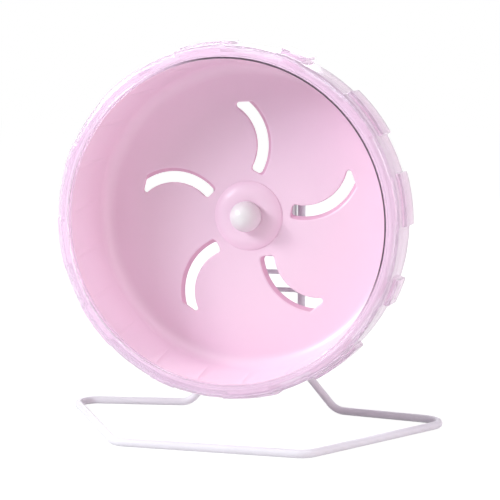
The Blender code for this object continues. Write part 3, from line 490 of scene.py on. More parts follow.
def linked(tree, target, sockets):
    """Feeds each output socket to the target's input of that label."""
    for label, socket in sockets.items():
        tree.links.new(socket, target.inputs[label])


def reckon(tree, operation, *values):
    """The output of one Math node."""
    return add_node(tree, "Math", dict(enumerate(values)), operation=operation).outputs[0]


def reckon_vector(tree, operation, *values):
    """The output of one Vector Math node, a single number for a length or a dot product."""
    made = add_node(tree, "VectorMath", dict(enumerate(values)), operation=operation)
    return made.outputs["Value" if operation in ("LENGTH", "DOT_PRODUCT") else "Vector"]


def eased(tree, value, start, full, low=0.0, high=1.0):
    """A soft step from low to high while the value goes from start to full."""
    inputs = {"Value": value, "From Min": start, "From Max": full, "To Min": low, "To Max": high}
    return add_node(tree, "MapRange", inputs, interpolation_type="SMOOTHSTEP").outputs[0]


def ray_is(tree, *kinds):
    """1 for a ray of any of these kinds, otherwise 0."""
    ray = add_node(tree, "LightPath")
    found = ray.outputs["Is " + kinds[0] + " Ray"]
    for kind in kinds[1:]:
        found = reckon(tree, "MAXIMUM", found, ray.outputs["Is " + kind + " Ray"])
    return found


def new_group(name, inputs, outputs):
    """A node group with named inputs, each with its kind and first value, and named outputs."""
    group = bpy.data.node_groups.new(name, "ShaderNodeTree")
    for label, kind, value in inputs:
        socket = group.interface.new_socket(label, in_out="INPUT", socket_type="NodeSocket" + kind)
        socket.default_value = value
    for label, kind in outputs:
        group.interface.new_socket(label, in_out="OUTPUT", socket_type="NodeSocket" + kind)
    return group, group.nodes.new("NodeGroupInput"), group.nodes.new("NodeGroupOutput")


def spread_colour(tree, colour, spread, pattern):
    """The colour a little darker or lighter with a pattern from 0 to 1."""
    centred = reckon(tree, "SUBTRACT", pattern, 0.5)
    scaled = reckon(tree, "MULTIPLY", centred, spread)
    gain = reckon(tree, "ADD", scaled, 1.0)
    return reckon_vector(tree, "MULTIPLY", colour, gain)


def moulded_skin():
    """Skin of a moulded plastic part: flow tone, faint rubs and a fine mould grain."""
    group, given, result = new_group(
        "moulded_skin",
        [
            ("Colour", "Color", (0.8, 0.8, 0.8, 1.0)),
            ("Tone Spread", "Float", 0.05),
            ("Flow Scale", "Float", 14.0),
            ("Roughness", "Float", 0.35),
            ("Rub Depth", "Float", 0.08),
            ("Grain Scale", "Float", 1500.0),
            ("Grain Height", "Float", 0.00001),
        ],
        [("Colour", "Color"), ("Roughness", "Float"), ("Normal", "Vector")],
    )
    sockets = given.outputs
    coords = add_node(group, "TexCoord").outputs["Object"]
    flow = add_node(group, "TexNoise", {"Vector": coords, "Scale": sockets["Flow Scale"], "Detail": 3.0})
    colour = spread_colour(group, sockets["Colour"], sockets["Tone Spread"], flow.outputs["Fac"])
    stretched = add_node(group, "Mapping", {"Vector": coords, "Scale": RUB_STRETCH})
    rubs = add_node(group, "TexNoise", {"Vector": stretched.outputs[0], "Scale": 1.0, "Detail": 4.0})
    faint = add_node(
        group, "MapRange", {"Value": rubs.outputs["Fac"], "From Min": RUB_START, "From Max": RUB_FULL},
    )
    rubbed = reckon(group, "MULTIPLY_ADD", faint.outputs[0], sockets["Rub Depth"], sockets["Roughness"])
    grain = add_node(group, "TexNoise", {"Vector": coords, "Scale": sockets["Grain Scale"], "Detail": 2.0})
    bump = add_node(group, "Bump", {"Height": grain.outputs["Fac"], "Distance": sockets["Grain Height"]})
    linked(group, result, {"Colour": colour, "Roughness": rubbed, "Normal": bump.outputs[0]})
    return group


def turned_skin():
    """Skin of a turned or drawn metal part: rings round an axis along the axle."""
    group, given, result = new_group(
        "turned_skin",
        [
            ("Colour", "Color", (0.6, 0.6, 0.6, 1.0)),
            ("Tone Spread", "Float", 0.15),
            ("Roughness", "Float", 0.25),
            ("Roughness Spread", "Float", 0.12),
            ("Centre", "Vector", (0.0, 0.0, 0.0)),
            ("Ring Scale", "Float", 6000.0),
            ("Ring Height", "Float", 0.000004),
        ],
        [("Colour", "Color"), ("Roughness", "Float"), ("Normal", "Vector")],
    )
    sockets = given.outputs
    coords = add_node(group, "TexCoord").outputs["Object"]
    moved = reckon_vector(group, "SUBTRACT", coords, sockets["Centre"])
    parts = add_node(group, "SeparateXYZ", {0: moved})
    flat = add_node(group, "CombineXYZ", {"X": parts.outputs["X"], "Z": parts.outputs["Z"]})
    radius = reckon_vector(group, "LENGTH", flat.outputs[0])
    line = add_node(group, "CombineXYZ", {"X": radius, "Y": parts.outputs["Y"]})
    rings = add_node(
        group, "TexNoise", {"Vector": line.outputs[0], "Scale": sockets["Ring Scale"], "Detail": 3.0},
    )
    blotch = add_node(group, "TexNoise", {"Vector": coords, "Scale": BLOTCH_SCALE, "Detail": 3.0})
    tone = blotch.outputs["Fac"]
    colour = spread_colour(group, sockets["Colour"], sockets["Tone Spread"], tone)
    rough = reckon(group, "MULTIPLY_ADD", tone, sockets["Roughness Spread"], sockets["Roughness"])
    bump = add_node(group, "Bump", {"Height": rings.outputs["Fac"], "Distance": sockets["Ring Height"]})
    linked(group, result, {"Colour": colour, "Roughness": rough, "Normal": bump.outputs[0]})
    return group


def new_material(name):
    """A material with its node tree and its Principled shader."""
    material = bpy.data.materials.new(name)
    material.use_nodes = True
    return material, material.node_tree, material.node_tree.nodes["Principled BSDF"]


def dressed(name, group, inputs, shader_values):
    """A material whose colour, roughness and normal come from one skin."""
    material, tree, shader = new_material(name)
    skin = tree.nodes.new("ShaderNodeGroup")
    skin.node_tree = group
    for label, value in inputs.items():
        skin.inputs[label].default_value = value
    given = skin.outputs
    linked(tree, shader, {
        "Base Color": given["Colour"], "Roughness": given["Roughness"], "Normal": given["Normal"],
    })
    for label, value in shader_values.items():
        shader.inputs[label].default_value = value
    return material


def powder_coat():
    """White powder coat: an orange-peel skin with soft, slightly uneven gloss."""
    material, tree, shader = new_material("powder_coat")
    coords = add_node(tree, "TexCoord").outputs["Object"]
    peel = add_node(
        tree, "TexVoronoi", {"Vector": coords, "Scale": PEEL_SCALE, "Smoothness": 1.0},
        feature="SMOOTH_F1",
    )
    fine = add_node(tree, "TexNoise", {"Vector": coords, "Scale": PEEL_GRAIN_SCALE, "Detail": 2.0})
    mixed = reckon(tree, "MULTIPLY_ADD", fine.outputs["Fac"], PEEL_GRAIN_SHARE, peel.outputs["Distance"])
    bump = add_node(tree, "Bump", {"Height": mixed, "Distance": PEEL_HEIGHT, "Strength": PEEL_STRENGTH})
    cloud = add_node(tree, "TexNoise", {"Vector": coords, "Scale": COAT_CLOUD_SCALE, "Detail": 3.0})
    tone = cloud.outputs["Fac"]
    shade = add_node(tree, "RGB")
    shade.outputs[0].default_value = WIRE_WHITE
    colour = spread_colour(tree, shade.outputs[0], COAT_TONE_SPREAD, tone)
    rough = add_node(tree, "MapRange", {"Value": tone, "To Min": COAT_SMOOTHEST, "To Max": COAT_ROUGHEST})
    linked(tree, shader, {"Base Color": colour, "Roughness": rough.outputs[0], "Normal": bump.outputs[0]})
    return material


def clear_plastic(name, skin_group):
    """Clear moulding with slight waviness and faint rubs, which lets the lamps shine through it."""
    material = dressed(
        name, skin_group,
        {
            "Colour": CLEAR, "Tone Spread": 0.02, "Flow Scale": 25.0, "Roughness": CLEAR_ROUGHNESS,
            "Rub Depth": 0.05, "Grain Scale": 60.0, "Grain Height": 0.000003,
        },
        {"Transmission Weight": CLEAR_WEIGHT, "IOR": CLEAR_IOR},
    )
    tree = material.node_tree
    lamp = ray_is(tree, "Shadow", "Diffuse")
    solid = add_node(tree, "MapRange", {"Value": lamp, "To Min": 1.0, "To Max": CLEAR_SHADE})
    linked(tree, tree.nodes["Principled BSDF"], {"Alpha": solid.outputs[0]})
    return material


def painted_shade_edge(material):
    """Paints shade on the rim of the opening: a grey all round, darker toward the side that faces away
    from the window.
    """
    tree = material.node_tree
    coords = add_node(tree, "TexCoord").outputs["Object"]
    arm = reckon_vector(tree, "SUBTRACT", coords, AXLE)
    toward = (math.cos(PAINTED_SHADE_ANGLE) / LIP_RADIUS, 0.0, math.sin(PAINTED_SHADE_ANGLE) / LIP_RADIUS)
    share = reckon_vector(tree, "DOT_PRODUCT", arm, toward)
    shade_share = eased(tree, share, PAINTED_SHADE_START, PAINTED_SHADE_FULL)
    change = reckon_vector(tree, "SUBTRACT", LIP_PAINTED_SHADE, LIP_PAINTED_GREY)
    scaled = reckon_vector(tree, "MULTIPLY", change, shade_share)
    tone = reckon_vector(tree, "ADD", scaled, LIP_PAINTED_GREY)
    skin = next(node for node in tree.nodes if node.type == "GROUP")
    linked(tree, skin, {"Colour": tone})
    return material


def make_finishes():
    """Every material of the wheel under a short name."""
    moulded = moulded_skin()
    machined = turned_skin()
    axle_centre = (AXLE.x, 0.0, AXLE.z)
    made = {
        "pink": dressed(
            "pink_plastic", moulded,
            {"Colour": PINK, "Tone Spread": 0.04, "Roughness": 0.34, "Rub Depth": 0.10},
            {"Specular IOR Level": 0.45},
        ),
        # Slot walls: a darker pink painted as shade in the slots
        "slot_wall_painted_shade": dressed(
            "pink_slot_wall", moulded,
            {"Colour": SLOT_PAINTED_SHADE_PINK, "Tone Spread": 0.04, "Roughness": 0.42, "Rub Depth": 0.05},
            {"Specular IOR Level": 0.3},
        ),
        "clear": clear_plastic("clear_plastic", moulded),
        # The opening's edge: clear plastic with a painted shade line
        "clear_lip_painted_shade": painted_shade_edge(clear_plastic("clear_plastic_lip_painted_shade", moulded)),
        "cap": dressed(
            "cap_plastic", moulded,
            {
                "Colour": CAP_WHITE, "Tone Spread": 0.02, "Flow Scale": 60.0, "Roughness": 0.28,
                "Rub Depth": 0.015,
            },
            {"Specular IOR Level": 0.5},
        ),
        "white": dressed(
            "white_plastic", moulded,
            {"Colour": WHITE, "Flow Scale": 60.0, "Roughness": 0.42, "Grain Height": 0.00002},
            {},
        ),
        "nylon": dressed(
            "nylon", moulded, {"Colour": NYLON, "Flow Scale": 200.0, "Roughness": 0.5}, {},
        ),
        "wire": powder_coat(),
        "steel": dressed(
            "bright_steel", machined, {"Colour": STEEL, "Centre": axle_centre}, {"Metallic": 1.0},
        ),
        "brass": dressed(
            "cage_brass", machined,
            {"Colour": BRASS, "Centre": axle_centre, "Roughness": 0.32}, {"Metallic": 1.0},
        ),
    }
    for name, (across, up) in screw_places().items():
        made["screw_" + name] = dressed(
            "screw_steel_" + name, machined,
            {"Colour": STEEL, "Centre": (across, 0.0, AXLE.z + up), "Roughness": 0.3}, {"Metallic": 1.0},
        )
    return made


# Running bowl


def bowl_outline():
    """Section of the bowl from its rim in over the boss, and back along the outside."""
    front = HEM_DEPTH + SEAT_GAP
    inner = LIP_RADIUS + SEAT_GAP
    outer = inner + BOWL_WALL
    back = DISC_DEPTH + DISC_WALL
    nose = DISC_DEPTH - BOSS_HEIGHT
    rise = BOSS_HEIGHT - BOSS_STEP
    boss_top = BOSS_RADIUS - BOSS_STEP / 3
    slope = boss_top - NOSE_RADIUS
    dome = (slope ** 2 + rise ** 2) / (2 * rise)
    floor = BEARING_FRONT - SEAT_GAP
    return [
        (inner, front, RIM_ROUND),
        (inner - BOWL_DRAFT, DISC_DEPTH, CORNER_RADIUS),
        (BOSS_RADIUS, DISC_DEPTH, BOSS_STEP / 2),
        (boss_top, DISC_DEPTH - BOSS_STEP, BOSS_STEP / 2),
        (NOSE_RADIUS + dome * math.tan(math.atan2(rise, slope)), nose, dome * NOSE_BLEND_SHARE),
        (NOSE_HOLE, nose, BOSS_STEP / 2),
        (NOSE_HOLE, floor, 0.0),
        (POCKET_RADIUS, floor, 0.0),
        (POCKET_RADIUS, HUB_END, BOSS_STEP / 2),
        (HUB_RADIUS, HUB_END, BOSS_STEP),
        (HUB_RADIUS, back, HUB_FILLET),
        (outer, back, CORNER_RADIUS + BOWL_WALL),
        (outer, front + FLANGE_DEPTH + FLANGE, FLANGE),
        (outer + FLANGE, front + FLANGE_DEPTH, RIM_ROUND / 2),
        (outer + FLANGE, front, RIM_ROUND),
    ]


def slot_angle(radius, limit):
    """Where an arc about the slot centre meets a circle about the axle."""
    share = (limit ** 2 - SLOT_CENTRE_RADIUS ** 2 - radius ** 2) / (2 * radius * SLOT_CENTRE_RADIUS)
    return SLOT_CENTRE_ANGLE - math.acos(share)


def slot_loop(grow, ramp, depth, turn):
    """One curved slot with four round corners, wider all round by grow and by ramp on its outer curve."""
    middle = Vector((math.cos(SLOT_CENTRE_ANGLE), math.sin(SLOT_CENTRE_ANGLE))) * SLOT_CENTRE_RADIUS
    ahead = Vector((math.cos(SLOT_START), math.sin(SLOT_START)))
    aside = Vector((-ahead.y, ahead.x))
    inner = SLOT_INNER - grow
    outer = SLOT_OUTER + grow + ramp
    limit = SLOT_END + grow
    near = SLOT_START_CORNER + grow
    far = SLOT_END_CORNER + grow
    fillets = []
    for radius, side in ((inner + near, inner), (outer - near, outer)):
        back = near - SLOT_START_REACH - grow
        centre = middle + ahead * math.sqrt(radius ** 2 - back ** 2) + aside * back
        fillets.append((centre, centre - aside * near, middle + (centre - middle) * side / radius))
    for radius, side in ((inner + far, inner), (outer - far, outer)):
        angle = slot_angle(radius, limit - far)
        centre = middle + Vector((math.cos(angle), math.sin(angle))) * radius
        fillets.append((centre, middle + (centre - middle) * side / radius, centre.normalized() * limit))
    near_in, start_in, side_in = fillets[0]
    near_out, start_out, side_out = fillets[1]
    far_in, last_in, end_in = fillets[2]
    far_out, last_out, end_out = fillets[3]
    flat = bend(near_in, start_in, side_in, ROUND_STEPS)
    flat += bend(middle, side_in, last_in, SLOT_SIDE_STEPS)[1:-1]
    flat += bend(far_in, last_in, end_in, ROUND_STEPS)
    flat += bend(far_out, end_out, last_out, ROUND_STEPS)
    flat += bend(middle, last_out, side_out, SLOT_SIDE_STEPS)[1:-1]
    flat += bend(near_out, side_out, start_out, ROUND_STEPS)
    return [place(point.length, depth, math.atan2(point.y, point.x) + turn) for point in flat]


def slot_cutter(turn):
    """Trumpet-shaped cutter: round front edge, sloping outer wall, round back edge."""
    levels = [(SLOT_EDGE, SLOT_RAMP, -SLOT_EDGE), (SLOT_EDGE, SLOT_RAMP, -SLOT_SLIVER)]
    for n in range(1, ROUND_STEPS + 1):
        lean = math.pi / 2 * n / ROUND_STEPS
        depth = SLOT_EDGE * (1 - math.cos(lean))
        levels.append((SLOT_EDGE * (1 - math.sin(lean)), SLOT_RAMP * (1 - depth / DISC_WALL), depth))
    for n in range(ROUND_STEPS + 1):
        lean = math.pi / 2 * n / ROUND_STEPS
        depth = DISC_WALL - SLOT_BACK_EDGE * (1 - math.sin(lean))
        grow = SLOT_BACK_EDGE * (1 - math.cos(lean))
        levels.append((grow, SLOT_RAMP * max(0.0, 1 - depth / DISC_WALL), depth))
    levels[-1] = (SLOT_BACK_EDGE, 0.0, DISC_WALL + SLOT_SLIVER)
    levels.append((SLOT_BACK_EDGE, 0.0, DISC_WALL + SLOT_EDGE))
    rows = [slot_loop(grow, ramp, DISC_DEPTH + depth, turn) for grow, ramp, depth in levels]
    return skinned(bmesh.new(), rows)


def tread_ribs():
    """Low round-topped ribs across the running surface."""
    bm = bmesh.new()
    surface = LIP_RADIUS + SEAT_GAP
    end = DISC_DEPTH - CORNER_RADIUS
    for k in range(TREAD_COUNT):
        rows = []
        for depth, lean, height in (
            (TREAD_START, 0.0, TREAD_HEIGHT / 8),
            (TREAD_START + TREAD_WIDTH, TREAD_LEAN / 8, TREAD_HEIGHT / 2),
            (TREAD_START + 3 * TREAD_WIDTH, TREAD_LEAN / 4, TREAD_HEIGHT),
            (end - 3 * TREAD_WIDTH, 3 * TREAD_LEAN / 4, TREAD_HEIGHT),
            (end - TREAD_WIDTH, 7 * TREAD_LEAN / 8, TREAD_HEIGHT / 2),
            (end, TREAD_LEAN, TREAD_HEIGHT / 8),
        ):
            angle = FIRST_TREAD + 2 * math.pi * k / TREAD_COUNT + lean
            half = TREAD_WIDTH / 2 / surface
            row = [place(surface + BOWL_WALL / 2, depth, angle - half)]
            for n in range(2 * ROUND_STEPS + 1):
                across = n / ROUND_STEPS - 1
                rise = (height + TREAD_SINK) * (1 + math.cos(math.pi * across)) / 2 - TREAD_SINK
                row.append(place(surface - rise, depth, angle + half * across))
            row.append(place(surface + BOWL_WALL / 2, depth, angle + half))
            rows.append(row)
        skinned(bm, rows)
    return bm


def gusset_ribs():
    """Ribs between the bearing tube and the back of the disc."""
    bm = bmesh.new()
    root = HUB_RADIUS - BOSS_STEP
    base = DISC_DEPTH + DISC_WALL / 2
    back = DISC_DEPTH + DISC_WALL
    side = [
        (root, base, 0.0),
        (HUB_RADIUS + GUSSET_REACH, base, 0.0),
        (HUB_RADIUS + GUSSET_REACH, back + BOSS_STEP, BOSS_STEP / 2),
        (HUB_RADIUS + BOSS_STEP, back + GUSSET_HEIGHT, BOSS_STEP),
        (root, back + GUSSET_HEIGHT, 0.0),
    ]
    outline = rounded(side)
    for k in range(GUSSET_COUNT):
        angle = 2 * math.pi * (k + 0.5) / GUSSET_COUNT
        aside = Vector((-math.sin(angle), 0, math.cos(angle))) * GUSSET_WALL / 2
        rows = []
        for share in (-1, 1):
            rows.append([place(radius, depth, angle) + aside * share for radius, depth in outline])
        skinned(bm, rows)
    return bm


def lug_angle(index):
    return FIRST_LUG - 2 * math.pi * index / LUG_COUNT


def is_latch(index):
    """Whether this place on the ring holds a narrow latch box in place of a broad lug."""
    return index % LATCH_EVERY == 1


def lug_half(index):
    return (LATCH_SPAN if is_latch(index) else LUG_SPAN) / 2


def tab_levels(front_part):
    """Depths and outer radii of a tab, under the band in front or under the skirt behind it."""
    step = BAND_DEPTH + RING_WALL + SEAT_GAP
    if front_part:
        top = BAND_RADIUS - RING_WALL - SEAT_GAP
        return [
            (FRONT_ROUND + RING_WALL, top - EDGE_ROUND),
            (FRONT_ROUND + RING_WALL + EDGE_ROUND, top),
            (step + SEAT_GAP, top),
        ]
    top = SKIRT_RADIUS + LUG_RISE - RING_WALL - SEAT_GAP
    return [
        (step, top - SKIRT_DRAFT - EDGE_ROUND),
        (step + EDGE_ROUND, top - SKIRT_DRAFT),
        (RING_DEPTH - SEAT_GAP - EDGE_ROUND, top),
        (RING_DEPTH - SEAT_GAP, top - EDGE_ROUND),
    ]


def lock_tabs(front_part):
    """Pink tabs on the bowl, one inside each lug of the clear ring."""
    bm = bmesh.new()
    low = LIP_RADIUS + SEAT_GAP + BOWL_WALL / 2
    for index in range(LUG_COUNT):
        if front_part and is_latch(index):
            continue
        half = lug_half(index) - (RING_WALL + 2 * SEAT_GAP) / (SKIRT_RADIUS + LUG_RISE)
        angles = [lug_angle(index) + half * (2 * n / TAB_STEPS - 1) for n in range(TAB_STEPS + 1)]
        rows = []
        for depth, high in tab_levels(front_part):
            points = []
            for n, angle in enumerate(angles):
                trim = EDGE_ROUND if n in (0, TAB_STEPS) else 0.0
                points.append(place(high - trim, depth, angle))
            points += [place(low, depth, angle) for angle in reversed(angles)]
            rows.append(points)
        skinned(bm, rows)
    return bm


def make_bowl(finishes):
    """Turned bowl with its slots cut, and its treads, back ribs and tabs joined on."""
    bm = turned(rounded(bowl_outline(), steps=BOWL_ROUND_STEPS), steps=TURN_STEPS)
    cutters = [slot_cutter(2 * math.pi * k / SLOT_COUNT) for k in range(SLOT_COUNT)]
    bm = combined(bm, cutters)
    bm = combined(bm, [tread_ribs(), gusset_ribs(), lock_tabs(False), lock_tabs(True)], "UNION")
    piece = finished("pink_bowl", bm, ["wheel_bowl"], "wheel", finishes["pink"])
    # The faces of the slot walls take the darker pink of painted shade
    piece.data.materials.append(finishes["slot_wall_painted_shade"])
    wall_front = FRONT_Y + DISC_DEPTH + SLOT_EDGE / 2
    wall_back = FRONT_Y + DISC_DEPTH + DISC_WALL - SLOT_BACK_EDGE / 2
    for face in piece.data.polygons:
        if abs(face.normal.y) > FLAT_FACE:
            face.use_smooth = False
        reach = math.hypot(face.center.x, face.center.z - AXLE.z)
        if wall_front < face.center.y < wall_back and BOSS_RADIUS < reach < SLOT_END + SLOT_EDGE:
            face.material_index = 1
    return piece


# Clear ring


def lug_share(angle):
    """How far the ring is raised at an angle, from 0 to 1, and which rise it takes."""
    for index in range(LUG_COUNT):
        beyond = (abs(wrapped(angle - lug_angle(index))) - lug_half(index)) * SKIRT_RADIUS
        if beyond > LUG_END_PLACES[-1]:
            continue
        rise = LATCH_RISE if is_latch(index) else LUG_RISE
        if beyond <= LUG_END_PLACES[0]:
            return 1.0, rise
        for k in range(len(LUG_END_PLACES) - 1):
            if beyond <= LUG_END_PLACES[k + 1]:
                span = LUG_END_PLACES[k + 1] - LUG_END_PLACES[k]
                share = (beyond - LUG_END_PLACES[k]) / span
                return LUG_END_SHARES[k] + (LUG_END_SHARES[k + 1] - LUG_END_SHARES[k]) * share, rise
    return 0.0, 0.0


def ring_columns():
    """Angles of the ring's sections: even ones, and close ones at both ends of each lug."""
    ends = []
    for index in range(LUG_COUNT):
        for side in (-1, 1):
            for reach in LUG_END_PLACES:
                half = lug_half(index) + reach / SKIRT_RADIUS
                ends.append((lug_angle(index) + side * half) % (2 * math.pi))
    spacing = 2 * math.pi / RING_COLUMNS
    even = [spacing * k for k in range(RING_COLUMNS)]
    clear = [a for a in even if all(abs(wrapped(a - end)) > spacing / 3 for end in ends)]
    return sorted(clear + ends)


def ring_section(angle):
    """Outline of the ring's wall at an angle, with the raised bead round its opening."""
    share, rise = lug_share(angle)
    band = BAND_RADIUS + BAND_RISE * share
    skirt = SKIRT_RADIUS + rise * share
    shoulder = skirt - SKIRT_DRAFT
    band_in = band - RING_WALL
    hem = LIP_RADIUS + HEM_WALL
    return [
        (LIP_RADIUS, HEM_DEPTH, EDGE_ROUND),
        (LIP_RADIUS, 0.0, BEAD_ROUND),
        (LIP_RADIUS + BEAD_WIDTH, 0.0, BEAD_ROUND),
        (LIP_RADIUS + BEAD_FOOT, BEAD_RISE, BEAD_ROUND),
        (band, BEAD_RISE, FRONT_ROUND),
        (band, BAND_DEPTH - STEP_LENGTH, EDGE_ROUND),
        (shoulder, BAND_DEPTH, EDGE_ROUND),
        (skirt, RING_DEPTH, EDGE_ROUND),
        (skirt - RING_WALL, RING_DEPTH, EDGE_ROUND),
        (shoulder - RING_WALL, BAND_DEPTH + RING_WALL, EDGE_ROUND),
        (band_in, BAND_DEPTH + RING_WALL - STEP_LENGTH, EDGE_ROUND),
        (band_in, RING_WALL, FRONT_ROUND - RING_WALL),
        (hem, RING_WALL, EDGE_ROUND),
        (hem, HEM_DEPTH, EDGE_ROUND),
    ]


def latch_windows():
    """Cutters for the window in the top of each latch box."""
    bm = bmesh.new()
    reach = WINDOW_SPAN / 2 * SKIRT_RADIUS
    wide = WINDOW_WIDTH / 2
    corner = WINDOW_WIDTH / 4
    crest = SKIRT_RADIUS + LATCH_RISE
    outline = rounded([
        (-reach, -wide, corner), (reach, -wide, corner), (reach, wide, corner), (-reach, wide, corner),
    ])
    for index in range(LUG_COUNT):
        if not is_latch(index):
            continue
        rows = []
        for radius in (crest - 2 * RING_WALL, crest + RING_WALL):
            rows.append([
                place(radius, WINDOW_DEPTH + along, lug_angle(index) + around / SKIRT_RADIUS)
                for around, along in outline
            ])
        skinned(bm, rows)
    return bm


def make_ring(finishes):
    """Clear ring bridged from its sections, with painted shade on the edge of its opening."""
    bm = bmesh.new()
    rows = []
    for angle in ring_columns():
        section = rounded(ring_section(angle), steps=RING_ROUND_STEPS)
        rows.append([place(radius, depth, angle) for radius, depth in section])
    skinned(bm, rows, around=True)
    bmesh.ops.remove_doubles(bm, verts=bm.verts[:], dist=WELD)
    bm = combined(bm, [latch_windows()])
    piece = finished("clear_ring", bm, ["front_ring"], "wheel", finishes["clear"])
    piece.data.materials.append(finishes["clear_lip_painted_shade"])
    # The faces round the opening take the material with the painted shade line
    for face in piece.data.polygons:
        reach = math.hypot(face.center.x, face.center.z - AXLE.z)
        if face.center.y < FRONT_Y + BEAD_ROUND / 2 and reach < LIP_RADIUS + PAINTED_SHADE_WIDTH:
            face.material_index = 1
    return piece


# Cap


def make_cap(finishes):
    """White ball-topped cap, hollow, with a plug that sits in the nose of the boss."""
    rim = DISC_DEPTH - BOSS_HEIGHT - SEAT_GAP
    centre = rim - CAP_SIDE
    plug = NOSE_HOLE - SEAT_GAP
    hollow = plug - CAP_WALL
    ball_in = CAP_RADIUS - CAP_WALL
    outer = []
    inner = []
    for k in range(CAP_STEPS + 1):
        lean = math.pi / 2 * k / CAP_STEPS
        outer.append((CAP_RADIUS * math.sin(lean), centre - CAP_RADIUS * math.cos(lean), 0.0))
        radius = hollow * math.cos(lean)
        inner.append((radius, centre - math.sqrt(ball_in ** 2 - radius ** 2), 0.0))
    section = outer + [
        (CAP_RADIUS, rim, CAP_ROUND),
        (plug, rim, 0.0),
        (plug, rim + CAP_PLUG, CAP_ROUND),
        (hollow, rim + CAP_PLUG, CAP_ROUND),
    ] + inner
    outline = rounded(section, closed=False, steps=SMALL_ROUND_STEPS)
    bm = turned(outline, closed=False, steps=CAP_TURN_STEPS)
    return finished("domed_cap", bm, ["hub_cap"], "wheel", finishes["cap"])


# Bearings


def make_races(side, front, finishes):
    """Inner and outer race, each with its ball groove."""
    middle = front + BEARING_WIDTH / 2
    back = front + BEARING_WIDTH
    chamfer = SEAT_GAP
    for race, bore, shoulder, way, body in (
        ("inner_race", BORE, INNER_SHOULDER, -1, "stand"),
        ("outer_race", BEARING_OUTER, OUTER_SHOULDER, 1, "wheel"),
    ):
        half = math.acos(abs(shoulder - PITCH_RADIUS) / BALL_GROOVE)
        outline = [(bore, front, chamfer), (shoulder, front, chamfer / 3)]
        for k in range(GROOVE_STEPS + 1):
            lean = half * (2 * k / GROOVE_STEPS - 1)
            radius = PITCH_RADIUS + way * BALL_GROOVE * math.cos(lean)
            outline.append((radius, middle + BALL_GROOVE * math.sin(lean), 0.0))
        outline += [(shoulder, back, chamfer / 3), (bore, back, chamfer)]
        finished(
            side + "_" + race, turned(rounded(outline, steps=SMALL_ROUND_STEPS)),
            [side + "_bearing_" + race], body, finishes["steel"],
        )


def pocket_rows(middle, angle):
    """Both ends of the round cutter that clears one ball's place in the cage."""
    aside = Vector((-math.sin(angle), 0, math.cos(angle)))
    rows = []
    for radius in (PITCH_RADIUS - BALL_RADIUS, PITCH_RADIUS + BALL_RADIUS):
        row = []
        for n in range(POCKET_SIDES):
            turn = 2 * math.pi * n / POCKET_SIDES
            offset = (aside * math.cos(turn) + Vector((0, 1, 0)) * math.sin(turn)) * BALL_GROOVE
            row.append(place(radius, middle, angle) + offset)
        rows.append(row)
    return rows


def make_cage(side, middle, finishes):
    """The balls, and the cage with a pocket for each of them."""
    body = side + "_cage"
    inner = PITCH_RADIUS - CAGE_WALL / 2
    outer = PITCH_RADIUS + CAGE_WALL / 2
    front = middle - CAGE_FRONT
    back = middle + CAGE_BACK
    outline = [(inner, front), (outer, front), (outer, back), (inner, back)]
    cage = turned(outline, steps=CAGE_TURN_STEPS)
    pockets = bmesh.new()
    for k in range(BALL_COUNT):
        angle = 2 * math.pi * k / BALL_COUNT
        number = str(k + 1)
        skinned(pockets, pocket_rows(middle, angle))
        ball = bmesh.new()
        bmesh.ops.create_uvsphere(
            ball, u_segments=BALL_SEGMENTS, v_segments=BALL_RINGS, radius=BALL_RADIUS,
        )
        bmesh.ops.translate(ball, verts=ball.verts[:], vec=place(PITCH_RADIUS, middle, angle))
        node = side + "_bearing_ball_" + number
        finished(side + "_ball_" + number, ball, [node], body, finishes["steel"])
    cage = combined(cage, [pockets])
    finished(
        side + "_cage_ring", cage, [side + "_bearing_cage"], body, finishes["brass"],
    )


def make_shields(side, front, finishes):
    """Thin steel shields at both faces of a bearing."""
    low = INNER_SHOULDER + SEAT_GAP
    high = OUTER_SHOULDER - SEAT_GAP
    last = front + BEARING_WIDTH - SHIELD_INSET - SHIELD_WALL
    for face, start in (("front", front + SHIELD_INSET), ("rear", last)):
        end = start + SHIELD_WALL
        edge = SHIELD_WALL / 4
        outline = [(low, start, 0.0), (high, start, edge), (high, end, edge), (low, end, 0.0)]
        finished(
            side + "_" + face + "_shield", turned(rounded(outline, steps=SMALL_ROUND_STEPS)),
            [side + "_bearing_" + face + "_shield"], "wheel", finishes["steel"],
        )


def make_bearing(side, front, finishes):
    """One ball bearing: races, caged balls and shields."""
    make_races(side, front, finishes)
    make_cage(side, front + BEARING_WIDTH / 2, finishes)
    make_shields(side, front, finishes)


# Axle


def hexagon(radius, depth):
    """Corners of a hexagon round the axle."""
    return [place(radius, depth, math.pi * k / 3) for k in range(6)]


def hex_blank(front, back):
    """A hexagon bar with round-turned chamfers at both ends."""
    radius = HEX_FLATS / math.sqrt(3)
    bar = skinned(bmesh.new(), [hexagon(radius, front), hexagon(radius, back)])
    chamfer = radius - HEX_FLATS / 2 + HEX_CHAMFER / 3
    envelope = turned(
        [
            (0.0, front - WELD), (radius - chamfer, front - WELD), (radius + WELD, front + chamfer / 2),
            (radius + WELD, back - chamfer / 2), (radius - chamfer, back + WELD), (0.0, back + WELD),
        ],
        closed=False, steps=HEX_TURN_STEPS,
    )
    return combined(bar, [envelope], "INTERSECT")


def ring_outline(inner, outer, front, back):
    """Section of a plain ring with softened edges."""
    edge = SEAT_GAP / 2
    corners = [(inner, front, edge), (outer, front, edge), (outer, back, edge), (inner, back, edge)]
    return rounded(corners, steps=SMALL_ROUND_STEPS)


